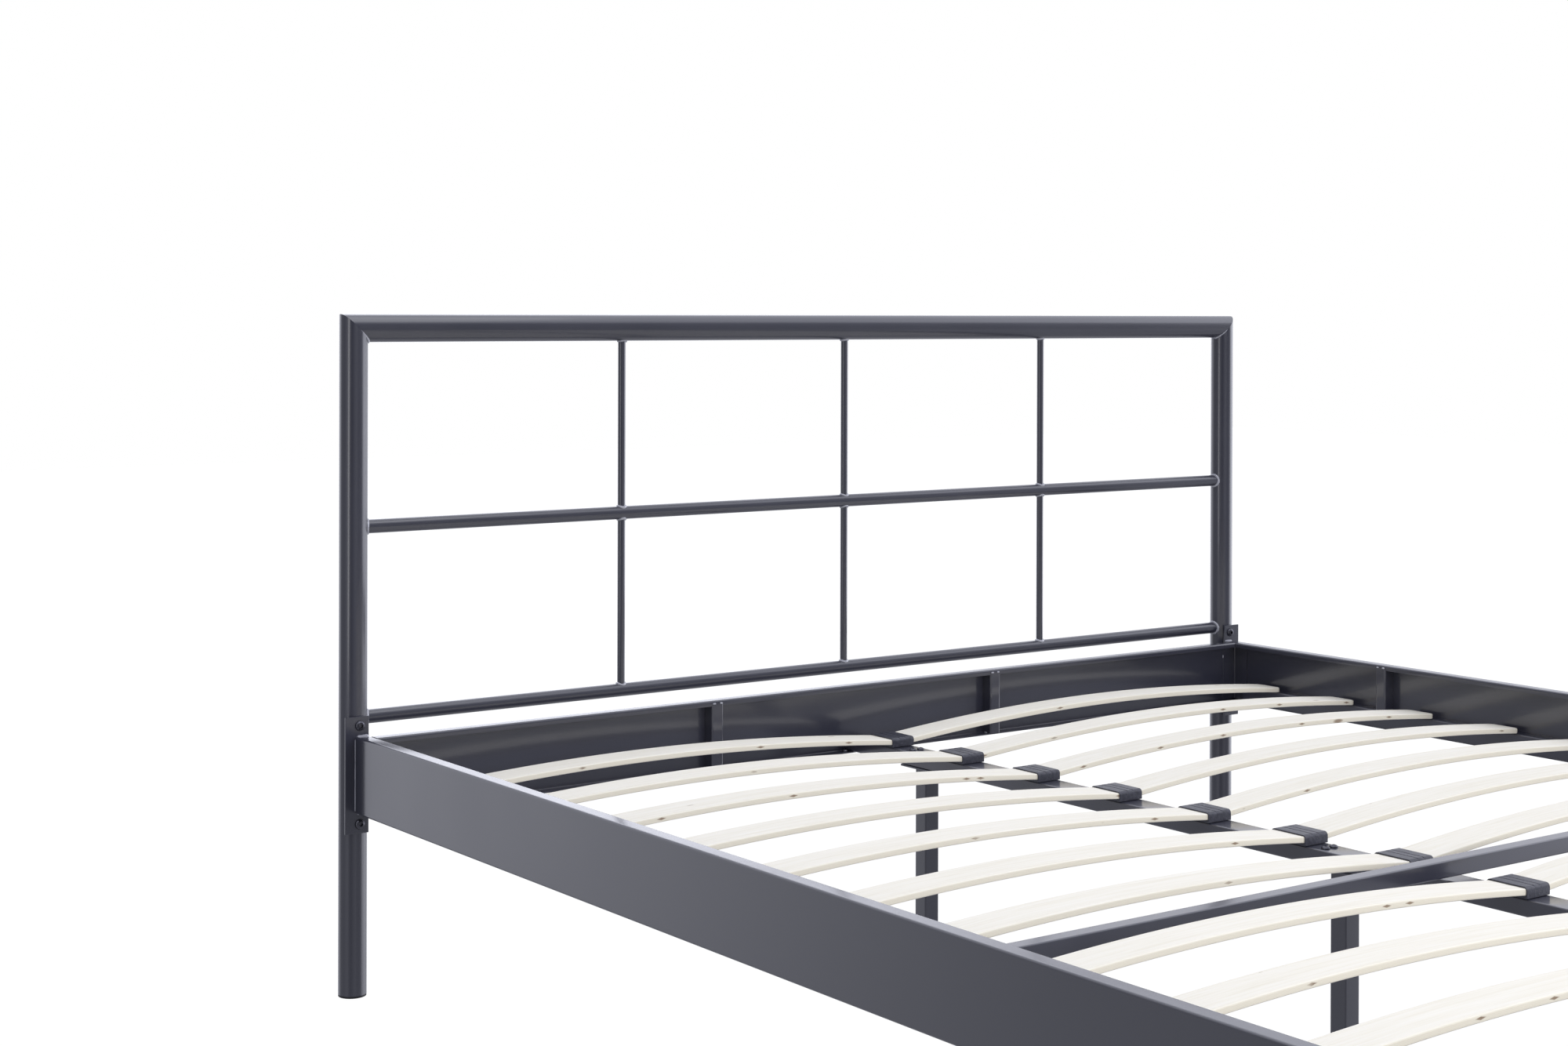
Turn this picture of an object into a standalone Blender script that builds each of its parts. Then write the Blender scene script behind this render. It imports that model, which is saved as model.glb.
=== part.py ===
"""A king-size metal bed frame: tube headboard, channel rails and twelve rows of sprung slats.

The bed stands on z = 0 with its middle on the origin. +X is its width, +Y points to the headboard.
Sizes are in metres. Pieces that touch keep GAP between them.
"""

import math

import bmesh
import bpy
from mathutils import Matrix

GAP = 0.0003
EMBED = 0.001  # how far a welded piece runs into the sheet that it is welded to
ROUND_STEPS = 40

# Overall
POST_SPACING = 1.640  # between the axes of the left and right posts
BED_LENGTH = 2.070  # between the axes of the headboard posts and the foot legs

# Headboard tubes; the heights are those of their axes
POST_DIAMETER = 0.038
POST_WALL = 0.0015
TOP_RAIL_HEIGHT = 0.899
MIDDLE_RAIL_HEIGHT = 0.631
BOTTOM_RAIL_HEIGHT = 0.374
THIN_RAIL_DIAMETER = 0.019
THIN_RAIL_WALL = 0.0012
BAR_DIAMETER = 0.011
BAR_COUNT = 3
BAR_CLEARANCE = 0.0003

# Rails, all folded from one sheet
SHEET = 0.002
RAIL_BOTTOM = 0.249
RAIL_HEIGHT = 0.103
FLANGE = 0.020
LIP = 0.008
SIDE_RAIL_OVERHANG = 0.0068  # outer face of a side rail, outside the post's axis
END_RAIL_INSET = 0.0285  # outer face of the head or foot rail, inside the post's axis

# Ledge welded inside each side rail, which carries the slats
LEDGE_HEIGHT = 0.029  # its top above the rail's bottom
LEDGE_DEPTH = 0.019
LEDGE_CLEARANCE = 0.006

# Folded stiffeners inside the rails
RIB_WIDTH = 0.020
RIB_DEPTH = 0.0215  # its face laps over the rail's lip
RIB_TOP_MARGIN = 0.004  # from the rail's top down to the rib's top
SIDE_RIB_PITCH = 0.659
END_RIB_PITCH = 0.530

# Plates on the ends of the side rails, bolted to the posts
PLATE_WIDTH = 0.034
PLATE_OVERHANG = 0.0142  # past the side rail's outer face
PLATE_ABOVE_RAIL = 0.027
PLATE_BELOW_RAIL = 0.027
PLATE_THICKNESS = 0.003
BOLT_INSET = 0.0125  # bolt centre from the plate's top or bottom edge
BOLT_SHANK_DIAMETER = 0.008
BOLT_HEAD_DIAMETER = 0.0138
BOLT_HEAD_HEIGHT = 0.0042
BOLT_HEAD_RIM = 0.0008  # straight part of the head, below its crown
BOLT_CROWN_STEPS = 6
BOLT_LENGTH = 0.022
BOLT_SOCKET_WIDTH = 0.005
BOLT_SOCKET_DEPTH = 0.0025
BOLT_CLEARANCE = 0.0003

# Angles that hold the head and foot rails between the side rails
CORNER_LEG = 0.030
CORNER_MARGIN = 0.002

# Centre beam, crossbar and legs
BEAM_WIDTH = 0.038
BEAM_HEIGHT = 0.020
BEAM_WALL = 0.0015
CROSSBAR_SIZE = 0.020
CROSSBAR_WALL = 0.0015
CROSSBAR_AFTER_ROW = 7
LEG_SIZE = 0.025
LEG_WALL = 0.0015
LEG_PLATE_LENGTH = 0.080
LEG_PLATE_THICKNESS = 0.003
LEG_ROWS = (1.52, 6.45, 11.5)  # 1.5 lies halfway between the first two rows of slats
FOOT_LEG_ABOVE_PLATE = 0.006

# Sprung slats
SLAT_ROWS = 12
FIRST_SLAT = 0.124  # middle of the first slat from the headboard posts' axis, and the same at the foot
SLAT_WIDTH = 0.053
SLAT_THICKNESS = 0.008
SLAT_BOW = 0.021
SLAT_CORNER = 0.010
SLAT_END_CLEARANCE = 0.010  # slat's outer end to the side rail's sheet
SLAT_STEPS = 18
CORNER_STEPS = 5

# Double slat caps on the centre beam
CAP_LENGTH = 0.040  # along the slats
CAP_WALL = 0.0015
CAP_MIDDLE_WALL = 0.003
CAP_CLEARANCE = 0.0004
CAP_ROUND = 0.004
CAP_ROUND_STEPS = 4
POCKET_CORNER = 0.002
PEG_DIAMETER = 0.008
PEG_LENGTH = 0.007
PEG_CLEARANCE = 0.0003

# Worked out from the values above
POST_X = POST_SPACING / 2
END_Y = BED_LENGTH / 2
POST_RADIUS = POST_DIAMETER / 2
RAIL_TOP = RAIL_BOTTOM + RAIL_HEIGHT
RAIL_OUTER_X = POST_X + SIDE_RAIL_OVERHANG
RAIL_INNER_X = RAIL_OUTER_X - SHEET
FLANGE_EDGE_X = RAIL_OUTER_X - FLANGE
PLATE_OUTER_X = RAIL_OUTER_X + PLATE_OVERHANG
PLATE_BOTTOM = RAIL_BOTTOM - PLATE_BELOW_RAIL
PLATE_TOP = RAIL_TOP + PLATE_ABOVE_RAIL
PLATE_BACK_Y = END_Y - POST_RADIUS - GAP
PLATE_FRONT_Y = PLATE_BACK_Y - PLATE_THICKNESS
BOLT_HEIGHTS = (PLATE_BOTTOM + BOLT_INSET, PLATE_TOP - BOLT_INSET)
END_RAIL_OUTER_Y = END_Y - END_RAIL_INSET
END_RAIL_INNER_Y = END_RAIL_OUTER_Y - SHEET
LEDGE_TOP = RAIL_BOTTOM + LEDGE_HEIGHT
LEDGE_END_Y = END_RAIL_INNER_Y - CORNER_LEG - LEDGE_CLEARANCE
BEAM_BOTTOM = RAIL_BOTTOM + SHEET + GAP
BEAM_TOP = BEAM_BOTTOM + BEAM_HEIGHT
BEAM_END_Y = END_RAIL_INNER_Y - GAP
SLAT_PITCH = (BED_LENGTH - 2 * FIRST_SLAT) / (SLAT_ROWS - 1)
CAP_BOTTOM = BEAM_TOP + GAP
SLAT_INNER_X = CAP_MIDDLE_WALL / 2 + CAP_CLEARANCE
SLAT_OUTER_X = RAIL_INNER_X - SLAT_END_CLEARANCE
SLAT_INNER_Z = CAP_BOTTOM + CAP_WALL + CAP_CLEARANCE
SLAT_OUTER_Z = LEDGE_TOP + GAP


def row_y(row):
    """Middle of a row of slats, counted from 1 at the headboard; 1.5 lies between the first two rows."""
    return END_Y - FIRST_SLAT - (row - 1) * SLAT_PITCH


def material(name, colour, roughness, metallic):
    made = bpy.data.materials.new(name)
    made.use_nodes = True
    shader = made.node_tree.nodes["Principled BSDF"]
    shader.inputs["Base Color"].default_value = (*colour, 1.0)
    shader.inputs["Roughness"].default_value = roughness
    shader.inputs["Metallic"].default_value = metallic
    made.diffuse_color = (*colour, 1.0)
    return made


def add_object(name, bm, look):
    """Turn a bmesh into a named object, smooth on its curves and sharp at its corners."""
    bmesh.ops.recalc_face_normals(bm, faces=bm.faces)
    mesh = bpy.data.meshes.new(name)
    bm.to_mesh(mesh)
    bm.free()
    mesh.shade_smooth()
    mesh.set_sharp_from_angle(angle=math.radians(30))
    made = bpy.data.objects.new(name, mesh)
    bpy.context.scene.collection.objects.link(made)
    if look is not None:
        mesh.materials.append(look)
    return made


def combine(target, bm, operation, label):
    """Join a closed shape to an object, or cut it away, with a hidden helper."""
    helper = add_object(target.name + "." + label, bm, None)
    helper.hide_render = True
    helper.display_type = "WIRE"
    boolean = target.modifiers.new(label, "BOOLEAN")
    boolean.operation = operation
    boolean.solver = "EXACT"
    boolean.object = helper


def add_box(bm, x, y, z):
    """A box between the two values given along each axis."""
    corner = bmesh.ops.create_cube(bm, size=1.0)["verts"]
    size = [high - low for low, high in (x, y, z)]
    middle = [(high + low) / 2 for low, high in (x, y, z)]
    bmesh.ops.scale(bm, vec=size, verts=corner)
    bmesh.ops.translate(bm, vec=middle, verts=corner)


def add_cylinder(bm, radius, start, end, axis, middle):
    """A cylinder from start to end along one axis, at middle on the other two."""
    turn = {
        "X": Matrix.Rotation(math.radians(90), 3, "Y"),
        "Y": Matrix.Rotation(math.radians(-90), 3, "X"),
        "Z": Matrix.Identity(3),
    }[axis]
    verts = bmesh.ops.create_cone(
        bm, cap_ends=True, segments=ROUND_STEPS, radius1=radius, radius2=radius, depth=abs(end - start)
    )["verts"]
    bmesh.ops.rotate(bm, verts=verts, matrix=turn)
    place = list(middle)
    place["XYZ".index(axis)] = (start + end) / 2
    bmesh.ops.translate(bm, vec=place, verts=verts)


def move_copy(bm, faces, step):
    """Extrude faces by a step, which turns a flat outline into a solid."""
    moved = bmesh.ops.extrude_face_region(bm, geom=faces)["geom"]
    moved = [item for item in moved if isinstance(item, bmesh.types.BMVert)]
    bmesh.ops.translate(bm, vec=step, verts=moved)


def add_outline(bm, points, axis, start, end):
    """Extrude an outline along one axis. The points are (across, height), or (x, y) along Z."""
    if axis == "Y":
        places = [(across, start, height) for across, height in points]
    elif axis == "X":
        places = [(start, across, height) for across, height in points]
    else:
        places = [(x, y, start) for x, y in points]
    step = [0.0, 0.0, 0.0]
    step["XYZ".index(axis)] = end - start
    face = bm.faces.new([bm.verts.new(place) for place in places])
    move_copy(bm, [face], step)


def round_tube(radius, wall, start, end, start_slope=0.0, end_slope=0.0):
    """A tube along Z with open ends. A slope tilts an end: its height falls by slope times x."""
    bm = bmesh.new()
    rings = []
    for ring_radius in (radius, radius - wall):
        verts = bmesh.ops.create_circle(bm, cap_ends=False, segments=ROUND_STEPS, radius=ring_radius)["verts"]
        rings += {edge for vert in verts for edge in vert.link_edges}
    rim = bmesh.ops.bridge_loops(bm, edges=rings)["faces"]
    moved = bmesh.ops.extrude_face_region(bm, geom=rim)["geom"]
    high = {item for item in moved if isinstance(item, bmesh.types.BMVert)}
    for vert in bm.verts:
        if vert in high:
            vert.co.z = end - end_slope * vert.co.x
        else:
            vert.co.z = start - start_slope * vert.co.x
    return bm


def square_tube(bm, width, height, wall, axis, start, end, middle):
    """A rectangular tube with open ends, extruded as a ring along one axis."""
    rings = []
    for half_w, half_h in ((width / 2, height / 2), (width / 2 - wall, height / 2 - wall)):
        corners = ((-half_w, -half_h), (half_w, -half_h), (half_w, half_h), (-half_w, half_h))
        verts = [bm.verts.new((across, up, start)) for across, up in corners]
        rings.append([bm.edges.new((verts[i], verts[i - 1])) for i in range(4)])
    wall_faces = bmesh.ops.bridge_loops(bm, edges=rings[0] + rings[1])["faces"]
    move_copy(bm, wall_faces, (0, 0, end - start))
    if axis == "Z":
        turn = Matrix.Identity(3)
    elif axis == "X":
        turn = Matrix(((0, 0, 1), (1, 0, 0), (0, 1, 0)))
    else:
        turn = Matrix(((1, 0, 0), (0, 0, 1), (0, 1, 0)))
    bmesh.ops.transform(bm, matrix=turn.to_4x4(), verts=bm.verts)
    bmesh.ops.translate(bm, vec=middle, verts=bm.verts)


def bolt_holes(diameter, x_places, start, end):
    bm = bmesh.new()
    for x in x_places:
        for height in BOLT_HEIGHTS:
            add_cylinder(bm, diameter / 2 + BOLT_CLEARANCE, start, end, "Y", (x, 0, height))
    return bm


def headboard_posts(look):
    mitre_back = GAP / math.sqrt(2)
    top = TOP_RAIL_HEIGHT - mitre_back
    for side, sign in (("left", -1), ("right", 1)):
        bm = round_tube(POST_RADIUS, POST_WALL, 0.0, top, end_slope=-sign)
        bmesh.ops.translate(bm, vec=(sign * POST_X, END_Y, 0), verts=bm.verts)
        post = add_object("headboard_post_" + side, bm, look)
        holes = bolt_holes(BOLT_SHANK_DIAMETER, [sign * POST_X], PLATE_FRONT_Y, END_Y)
        combine(post, holes, "DIFFERENCE", "bolt_holes")


def headboard_top_rail(look):
    mitre_back = GAP / math.sqrt(2)
    reach = POST_X - mitre_back
    bm = round_tube(POST_RADIUS, POST_WALL, -reach, reach, start_slope=-1, end_slope=1)
    # The tube is made along Z, then laid along X with its long side up.
    lay_down = Matrix(((0, 0, 1), (0, 1, 0), (-1, 0, 0)))
    bmesh.ops.transform(bm, matrix=lay_down.to_4x4(), verts=bm.verts)
    bmesh.ops.translate(bm, vec=(0, END_Y, TOP_RAIL_HEIGHT), verts=bm.verts)
    add_object("headboard_top_rail", bm, look)


def bar_places():
    """The bars share out the clear width between the posts."""
    clear = POST_SPACING - POST_DIAMETER
    step = clear / (BAR_COUNT + 1)
    return [-clear / 2 + step * (number + 1) for number in range(BAR_COUNT)]


def thin_rail(name, height, look):
    """A tube between the posts, its ends shaped to fit round them."""
    reach = POST_X - POST_RADIUS / 2
    bm = round_tube(THIN_RAIL_DIAMETER / 2, THIN_RAIL_WALL, -reach, reach)
    lay_down = Matrix(((0, 0, 1), (0, 1, 0), (-1, 0, 0)))
    bmesh.ops.transform(bm, matrix=lay_down.to_4x4(), verts=bm.verts)
    bmesh.ops.translate(bm, vec=(0, END_Y, height), verts=bm.verts)
    rail = add_object(name, bm, look)
    posts = bmesh.new()
    for x in (-POST_X, POST_X):
        low, high = height - POST_DIAMETER, height + POST_DIAMETER
        add_cylinder(posts, POST_RADIUS + GAP, low, high, "Z", (x, END_Y, 0))
    combine(rail, posts, "DIFFERENCE", "posts")
    return rail


def headboard_middle_rail(look):
    """The bars pass through holes in this one."""
    rail = thin_rail("headboard_middle_rail", MIDDLE_RAIL_HEIGHT, look)
    holes = bmesh.new()
    low, high = MIDDLE_RAIL_HEIGHT - THIN_RAIL_DIAMETER, MIDDLE_RAIL_HEIGHT + THIN_RAIL_DIAMETER
    for x in bar_places():
        add_cylinder(holes, BAR_DIAMETER / 2 + BAR_CLEARANCE, low, high, "Z", (x, END_Y, 0))
    combine(rail, holes, "DIFFERENCE", "bar_holes")


def headboard_bars(look):
    """Round bars from the bottom rail to the top rail, their ends hollowed to sit on the tubes."""
    reach = POST_DIAMETER
    for number, x in enumerate(bar_places(), start=1):
        bm = bmesh.new()
        add_cylinder(bm, BAR_DIAMETER / 2, BOTTOM_RAIL_HEIGHT, TOP_RAIL_HEIGHT, "Z", (x, END_Y, 0))
        bar = add_object("headboard_bar_" + str(number), bm, look)
        rails = bmesh.new()
        add_cylinder(rails, POST_RADIUS + GAP, x - reach, x + reach, "X", (0, END_Y, TOP_RAIL_HEIGHT))
        low_radius = THIN_RAIL_DIAMETER / 2 + GAP
        add_cylinder(rails, low_radius, x - reach, x + reach, "X", (0, END_Y, BOTTOM_RAIL_HEIGHT))
        combine(bar, rails, "DIFFERENCE", "rails")


def channel_outline(outer, inward):
    """The rails' section: a web, two flanges and a lip that turns down from the top one."""
    points = (
        (0, 0),
        (FLANGE, 0),
        (FLANGE, SHEET),
        (SHEET, SHEET),
        (SHEET, RAIL_HEIGHT - SHEET),
        (FLANGE - SHEET, RAIL_HEIGHT - SHEET),
        (FLANGE - SHEET, RAIL_HEIGHT - LIP),
        (FLANGE, RAIL_HEIGHT - LIP),
        (FLANGE, RAIL_HEIGHT),
        (0, RAIL_HEIGHT),
    )
    return [(outer + inward * across, RAIL_BOTTOM + height) for across, height in points]


def ledge_outline(outer, inward):
    """An angle with its flat side up, let into the rail's web and bottom flange."""
    points = (
        (SHEET - EMBED, LEDGE_HEIGHT - SHEET),
        (LEDGE_DEPTH - SHEET, LEDGE_HEIGHT - SHEET),
        (LEDGE_DEPTH - SHEET, SHEET - EMBED),
        (LEDGE_DEPTH, SHEET - EMBED),
        (LEDGE_DEPTH, LEDGE_HEIGHT),
        (SHEET - EMBED, LEDGE_HEIGHT),
    )
    return [(outer + inward * across, RAIL_BOTTOM + height) for across, height in points]


def add_rib(bm, outer, inward, along, middle, low):
    """A folded channel with its open side to the rail's web, and its face lapped over the lip."""
    near = middle - RIB_WIDTH / 2
    far = middle + RIB_WIDTH / 2
    section = (
        (near, SHEET - EMBED),
        (near + SHEET, SHEET - EMBED),
        (near + SHEET, RIB_DEPTH - SHEET),
        (far - SHEET, RIB_DEPTH - SHEET),
        (far - SHEET, SHEET - EMBED),
        (far, SHEET - EMBED),
        (far, RIB_DEPTH),
        (near, RIB_DEPTH),
    )
    points = [(run, outer + inward * depth) for run, depth in section]
    if along == "Y":
        points = [(across, run) for run, across in points]
    add_outline(bm, points, "Z", low, RAIL_TOP - RIB_TOP_MARGIN)


def side_rails(look):
    reach = PLATE_FRONT_Y + EMBED
    for side, sign in (("left", -1), ("right", 1)):
        bm = bmesh.new()
        add_outline(bm, channel_outline(sign * RAIL_OUTER_X, -sign), "Y", -reach, reach)
        rail = add_object("side_rail_" + side, bm, look)

        ledge = bmesh.new()
        outline = ledge_outline(sign * RAIL_OUTER_X, -sign)
        add_outline(ledge, outline, "Y", -LEDGE_END_Y, LEDGE_END_Y)
        combine(rail, ledge, "UNION", "ledge")

        fittings = bmesh.new()
        for middle in (-SIDE_RIB_PITCH, 0.0, SIDE_RIB_PITCH):
            add_rib(fittings, sign * RAIL_OUTER_X, -sign, "Y", middle, LEDGE_TOP - EMBED)
        plate_x = sorted((sign * PLATE_OUTER_X, sign * (PLATE_OUTER_X - PLATE_WIDTH)))
        for end in (-1, 1):
            plate_y = sorted((end * PLATE_FRONT_Y, end * PLATE_BACK_Y))
            add_box(fittings, plate_x, plate_y, (PLATE_BOTTOM, PLATE_TOP))
        combine(rail, fittings, "UNION", "ribs_and_plates")

        beyond = END_Y + POST_RADIUS
        holes = bolt_holes(BOLT_SHANK_DIAMETER, [sign * POST_X], -beyond, beyond)
        combine(rail, holes, "DIFFERENCE", "bolt_holes")


def add_corner_angle(bm, side, end):
    """An upright angle: one leg is welded to the end rail, the other lies against the side rail."""
    x = RAIL_INNER_X - GAP
    y = END_RAIL_INNER_Y + EMBED
    corner = (
        (x, y),
        (x, y - CORNER_LEG),
        (x - SHEET, y - CORNER_LEG),
        (x - SHEET, y - SHEET - EMBED),
        (x - CORNER_LEG, y - SHEET - EMBED),
        (x - CORNER_LEG, y),
    )
    points = [(side * across, end * along) for across, along in corner]
    add_outline(bm, points, "Z", RAIL_BOTTOM + SHEET + CORNER_MARGIN, RAIL_TOP - LIP - CORNER_MARGIN)


def end_rail(name, end, look):
    """The head rail or the foot rail: a channel with a corner angle at each end."""
    reach = FLANGE_EDGE_X - GAP
    outer = end * END_RAIL_OUTER_Y
    bm = bmesh.new()
    add_outline(bm, channel_outline(outer, -end), "X", -reach, reach)
    rail = add_object(name, bm, look)

    fittings = bmesh.new()
    for middle in (-END_RIB_PITCH / 2, END_RIB_PITCH / 2):
        add_rib(fittings, outer, -end, "X", middle, RAIL_BOTTOM + SHEET - EMBED)
    for side in (-1, 1):
        add_corner_angle(fittings, side, end)
    combine(rail, fittings, "UNION", "ribs_and_corners")


def bolt_profile():
    """Half of a button-head screw's outline, as (distance from its axis, distance along it)."""
    shank = BOLT_SHANK_DIAMETER / 2
    head = BOLT_HEAD_DIAMETER / 2
    crown = BOLT_HEAD_HEIGHT - BOLT_HEAD_RIM
    profile = [(0, BOLT_LENGTH), (shank, BOLT_LENGTH), (shank, 0), (head, 0)]
    for step in range(BOLT_CROWN_STEPS + 1):
        angle = math.radians(90) * step / BOLT_CROWN_STEPS
        profile.append((head * math.cos(angle), -BOLT_HEAD_RIM - crown * math.sin(angle)))
    return profile


def post_bolt(name, x, height, look):
    """A screw with a hexagonal socket, through the side rail's plate into the post."""
    seat = PLATE_FRONT_Y - GAP
    bm = bmesh.new()
    verts = [bm.verts.new((across, along, 0)) for across, along in bolt_profile()]
    edges = [bm.edges.new(pair) for pair in zip(verts, verts[1:])]
    bmesh.ops.spin(
        bm,
        geom=verts + edges,
        axis=(0, 1, 0),
        cent=(0, 0, 0),
        angle=math.radians(360),
        steps=ROUND_STEPS // 2,
        use_merge=True,
    )
    bmesh.ops.remove_doubles(bm, verts=bm.verts, dist=1e-6)
    bmesh.ops.translate(bm, vec=(x, seat, height), verts=bm.verts)
    bolt = add_object(name, bm, look)

    socket = bmesh.new()
    radius = BOLT_SOCKET_WIDTH / 2 / math.cos(math.radians(30))
    hexagon = bmesh.ops.create_cone(
        socket, cap_ends=True, segments=6, radius1=radius, radius2=radius, depth=2 * BOLT_SOCKET_DEPTH
    )["verts"]
    bmesh.ops.rotate(socket, verts=hexagon, matrix=Matrix.Rotation(math.radians(90), 3, "X"))
    bmesh.ops.translate(socket, vec=(x, seat - BOLT_HEAD_HEIGHT, height), verts=hexagon)
    combine(bolt, socket, "DIFFERENCE", "socket")


def headboard_bolts(look):
    for side, sign in (("left", -1), ("right", 1)):
        for level, height in zip(("lower", "upper"), BOLT_HEIGHTS):
            post_bolt("headboard_bolt_" + side + "_" + level, sign * POST_X, height, look)


def foot_legs(look):
    """Short posts at the foot end, as high as the rails' plates."""
    top = PLATE_TOP + FOOT_LEG_ABOVE_PLATE
    for side, sign in (("left", -1), ("right", 1)):
        bm = round_tube(POST_RADIUS, POST_WALL, 0.0, top)
        bmesh.ops.translate(bm, vec=(sign * POST_X, -END_Y, 0), verts=bm.verts)
        leg = add_object("foot_leg_" + side, bm, look)
        holes = bolt_holes(BOLT_SHANK_DIAMETER, [sign * POST_X], -PLATE_FRONT_Y, -END_Y)
        combine(leg, holes, "DIFFERENCE", "bolt_holes")


def centre_beam(look):
    bm = bmesh.new()
    middle = (0, 0, (BEAM_BOTTOM + BEAM_TOP) / 2)
    square_tube(bm, BEAM_WIDTH, BEAM_HEIGHT, BEAM_WALL, "Y", -BEAM_END_Y, BEAM_END_Y, middle)
    beam = add_object("centre_beam", bm, look)
    holes = bmesh.new()
    low, high = BEAM_TOP - 2 * BEAM_WALL, CAP_BOTTOM
    for row in range(1, SLAT_ROWS + 1):
        add_cylinder(holes, PEG_DIAMETER / 2 + PEG_CLEARANCE, low, high, "Z", (0, row_y(row), 0))
    combine(beam, holes, "DIFFERENCE", "peg_holes")


def cross_bar(look):
    """A square tube that lies on the two ledges and ties the side rails together."""
    bm = bmesh.new()
    reach = RAIL_INNER_X - GAP
    middle = (0, row_y(CROSSBAR_AFTER_ROW + 0.5), LEDGE_TOP + GAP + CROSSBAR_SIZE / 2)
    square_tube(bm, CROSSBAR_SIZE, CROSSBAR_SIZE, CROSSBAR_WALL, "X", -reach, reach, middle)
    add_object("cross_bar", bm, look)


def centre_legs(look):
    """Square tubes under the beam, each with a plate on top that is screwed to it."""
    plate_top = BEAM_BOTTOM - GAP
    plate_bottom = plate_top - LEG_PLATE_THICKNESS
    for name, row in zip(("head", "middle", "foot"), LEG_ROWS):
        y = row_y(row)
        bm = bmesh.new()
        square_tube(bm, LEG_SIZE, LEG_SIZE, LEG_WALL, "Z", 0.0, plate_bottom + EMBED, (0, y, 0))
        leg = add_object("centre_leg_" + name, bm, look)
        plate = bmesh.new()
        half_x, half_y = BEAM_WIDTH / 2, LEG_PLATE_LENGTH / 2
        add_box(plate, (-half_x, half_x), (y - half_y, y + half_y), (plate_bottom, plate_top))
        combine(leg, plate, "UNION", "plate")


def bow_height(x):
    """Underside of a slat at a distance x from the bed's middle line: a shallow arch."""
    share = (x - SLAT_INNER_X) / (SLAT_OUTER_X - SLAT_INNER_X)
    level = SLAT_INNER_Z + (SLAT_OUTER_Z - SLAT_INNER_Z) * share
    return level + 4 * SLAT_BOW * share * (1 - share)


def slat_mesh(start, end, half_width, corner, grow):
    """A bowed strip from start to end along X, with rounded corners; grow thickens it all round."""
    turns = [math.radians(90) * step / CORNER_STEPS for step in range(CORNER_STEPS + 1)]
    rounding = [corner * (1 - math.cos(turn)) for turn in turns]
    inner = end - start - 2 * corner
    places = [start + step for step in rounding]
    places += [start + corner + inner * step / SLAT_STEPS for step in range(1, SLAT_STEPS)]
    places += [end - step for step in reversed(rounding)]
    bm = bmesh.new()
    bmesh.ops.create_grid(bm, x_segments=len(places) - 1, y_segments=1, size=1.0)
    rows = sorted(bm.verts, key=lambda vert: (round(vert.co.x, 5), vert.co.y))
    for number, vert in enumerate(rows):
        x = places[number // 2]
        from_end = min(x - start, end - x, corner)
        half = half_width - corner + math.sqrt(max(corner**2 - (corner - from_end) ** 2, 0.0))
        vert.co = (x, half if number % 2 else -half, 0)
    top = bmesh.ops.extrude_face_region(bm, geom=list(bm.faces))["geom"]
    top = {item for item in top if isinstance(item, bmesh.types.BMVert)}
    for vert in bm.verts:
        low = bow_height(vert.co.x) - grow
        vert.co.z = low + SLAT_THICKNESS + 2 * grow if vert in top else low
    return bm


def slats(look):
    for row in range(1, SLAT_ROWS + 1):
        for side, sign in (("left", -1), ("right", 1)):
            bm = slat_mesh(SLAT_INNER_X, SLAT_OUTER_X, SLAT_WIDTH / 2, SLAT_CORNER, 0.0)
            bmesh.ops.scale(bm, vec=(sign, 1, 1), verts=bm.verts)
            bmesh.ops.translate(bm, vec=(0, row_y(row), 0), verts=bm.verts)
            add_object("slat_" + side + "_" + str(row).zfill(2), bm, look)


def slat_caps(look):
    """One cap on the beam for each row: a pocket on either side, and a peg that plugs into the beam."""
    half_x = CAP_LENGTH / 2
    half_y = SLAT_WIDTH / 2 + CAP_CLEARANCE + CAP_WALL
    top = bow_height(half_x) + SLAT_THICKNESS + CAP_CLEARANCE + CAP_WALL
    for row in range(1, SLAT_ROWS + 1):
        y = row_y(row)
        bm = bmesh.new()
        add_box(bm, (-half_x, half_x), (y - half_y, y + half_y), (CAP_BOTTOM, top))
        long_edges = [edge for edge in bm.edges if abs(edge.verts[0].co.x - edge.verts[1].co.x) > half_x]
        top_edges = [edge for edge in long_edges if edge.verts[0].co.z > (CAP_BOTTOM + top) / 2]
        bmesh.ops.bevel(
            bm,
            geom=top_edges,
            offset=CAP_ROUND,
            segments=CAP_ROUND_STEPS,
            profile=0.5,
            affect="EDGES",
            material=-1,
        )
        cap = add_object("slat_cap_" + str(row).zfill(2), bm, look)
        peg = bmesh.new()
        peg_low = BEAM_TOP - PEG_LENGTH
        add_cylinder(peg, PEG_DIAMETER / 2, peg_low, CAP_BOTTOM + CAP_WALL / 2, "Z", (0, y, 0))
        combine(cap, peg, "UNION", "peg")
        for side, sign in (("left", -1), ("right", 1)):
            half_width = SLAT_WIDTH / 2 + CAP_CLEARANCE
            pocket = slat_mesh(CAP_MIDDLE_WALL / 2, CAP_LENGTH, half_width, POCKET_CORNER, CAP_CLEARANCE)
            bmesh.ops.scale(pocket, vec=(sign, 1, 1), verts=pocket.verts)
            bmesh.ops.translate(pocket, vec=(0, y, 0), verts=pocket.verts)
            combine(cap, pocket, "DIFFERENCE", "pocket_" + side)


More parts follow.
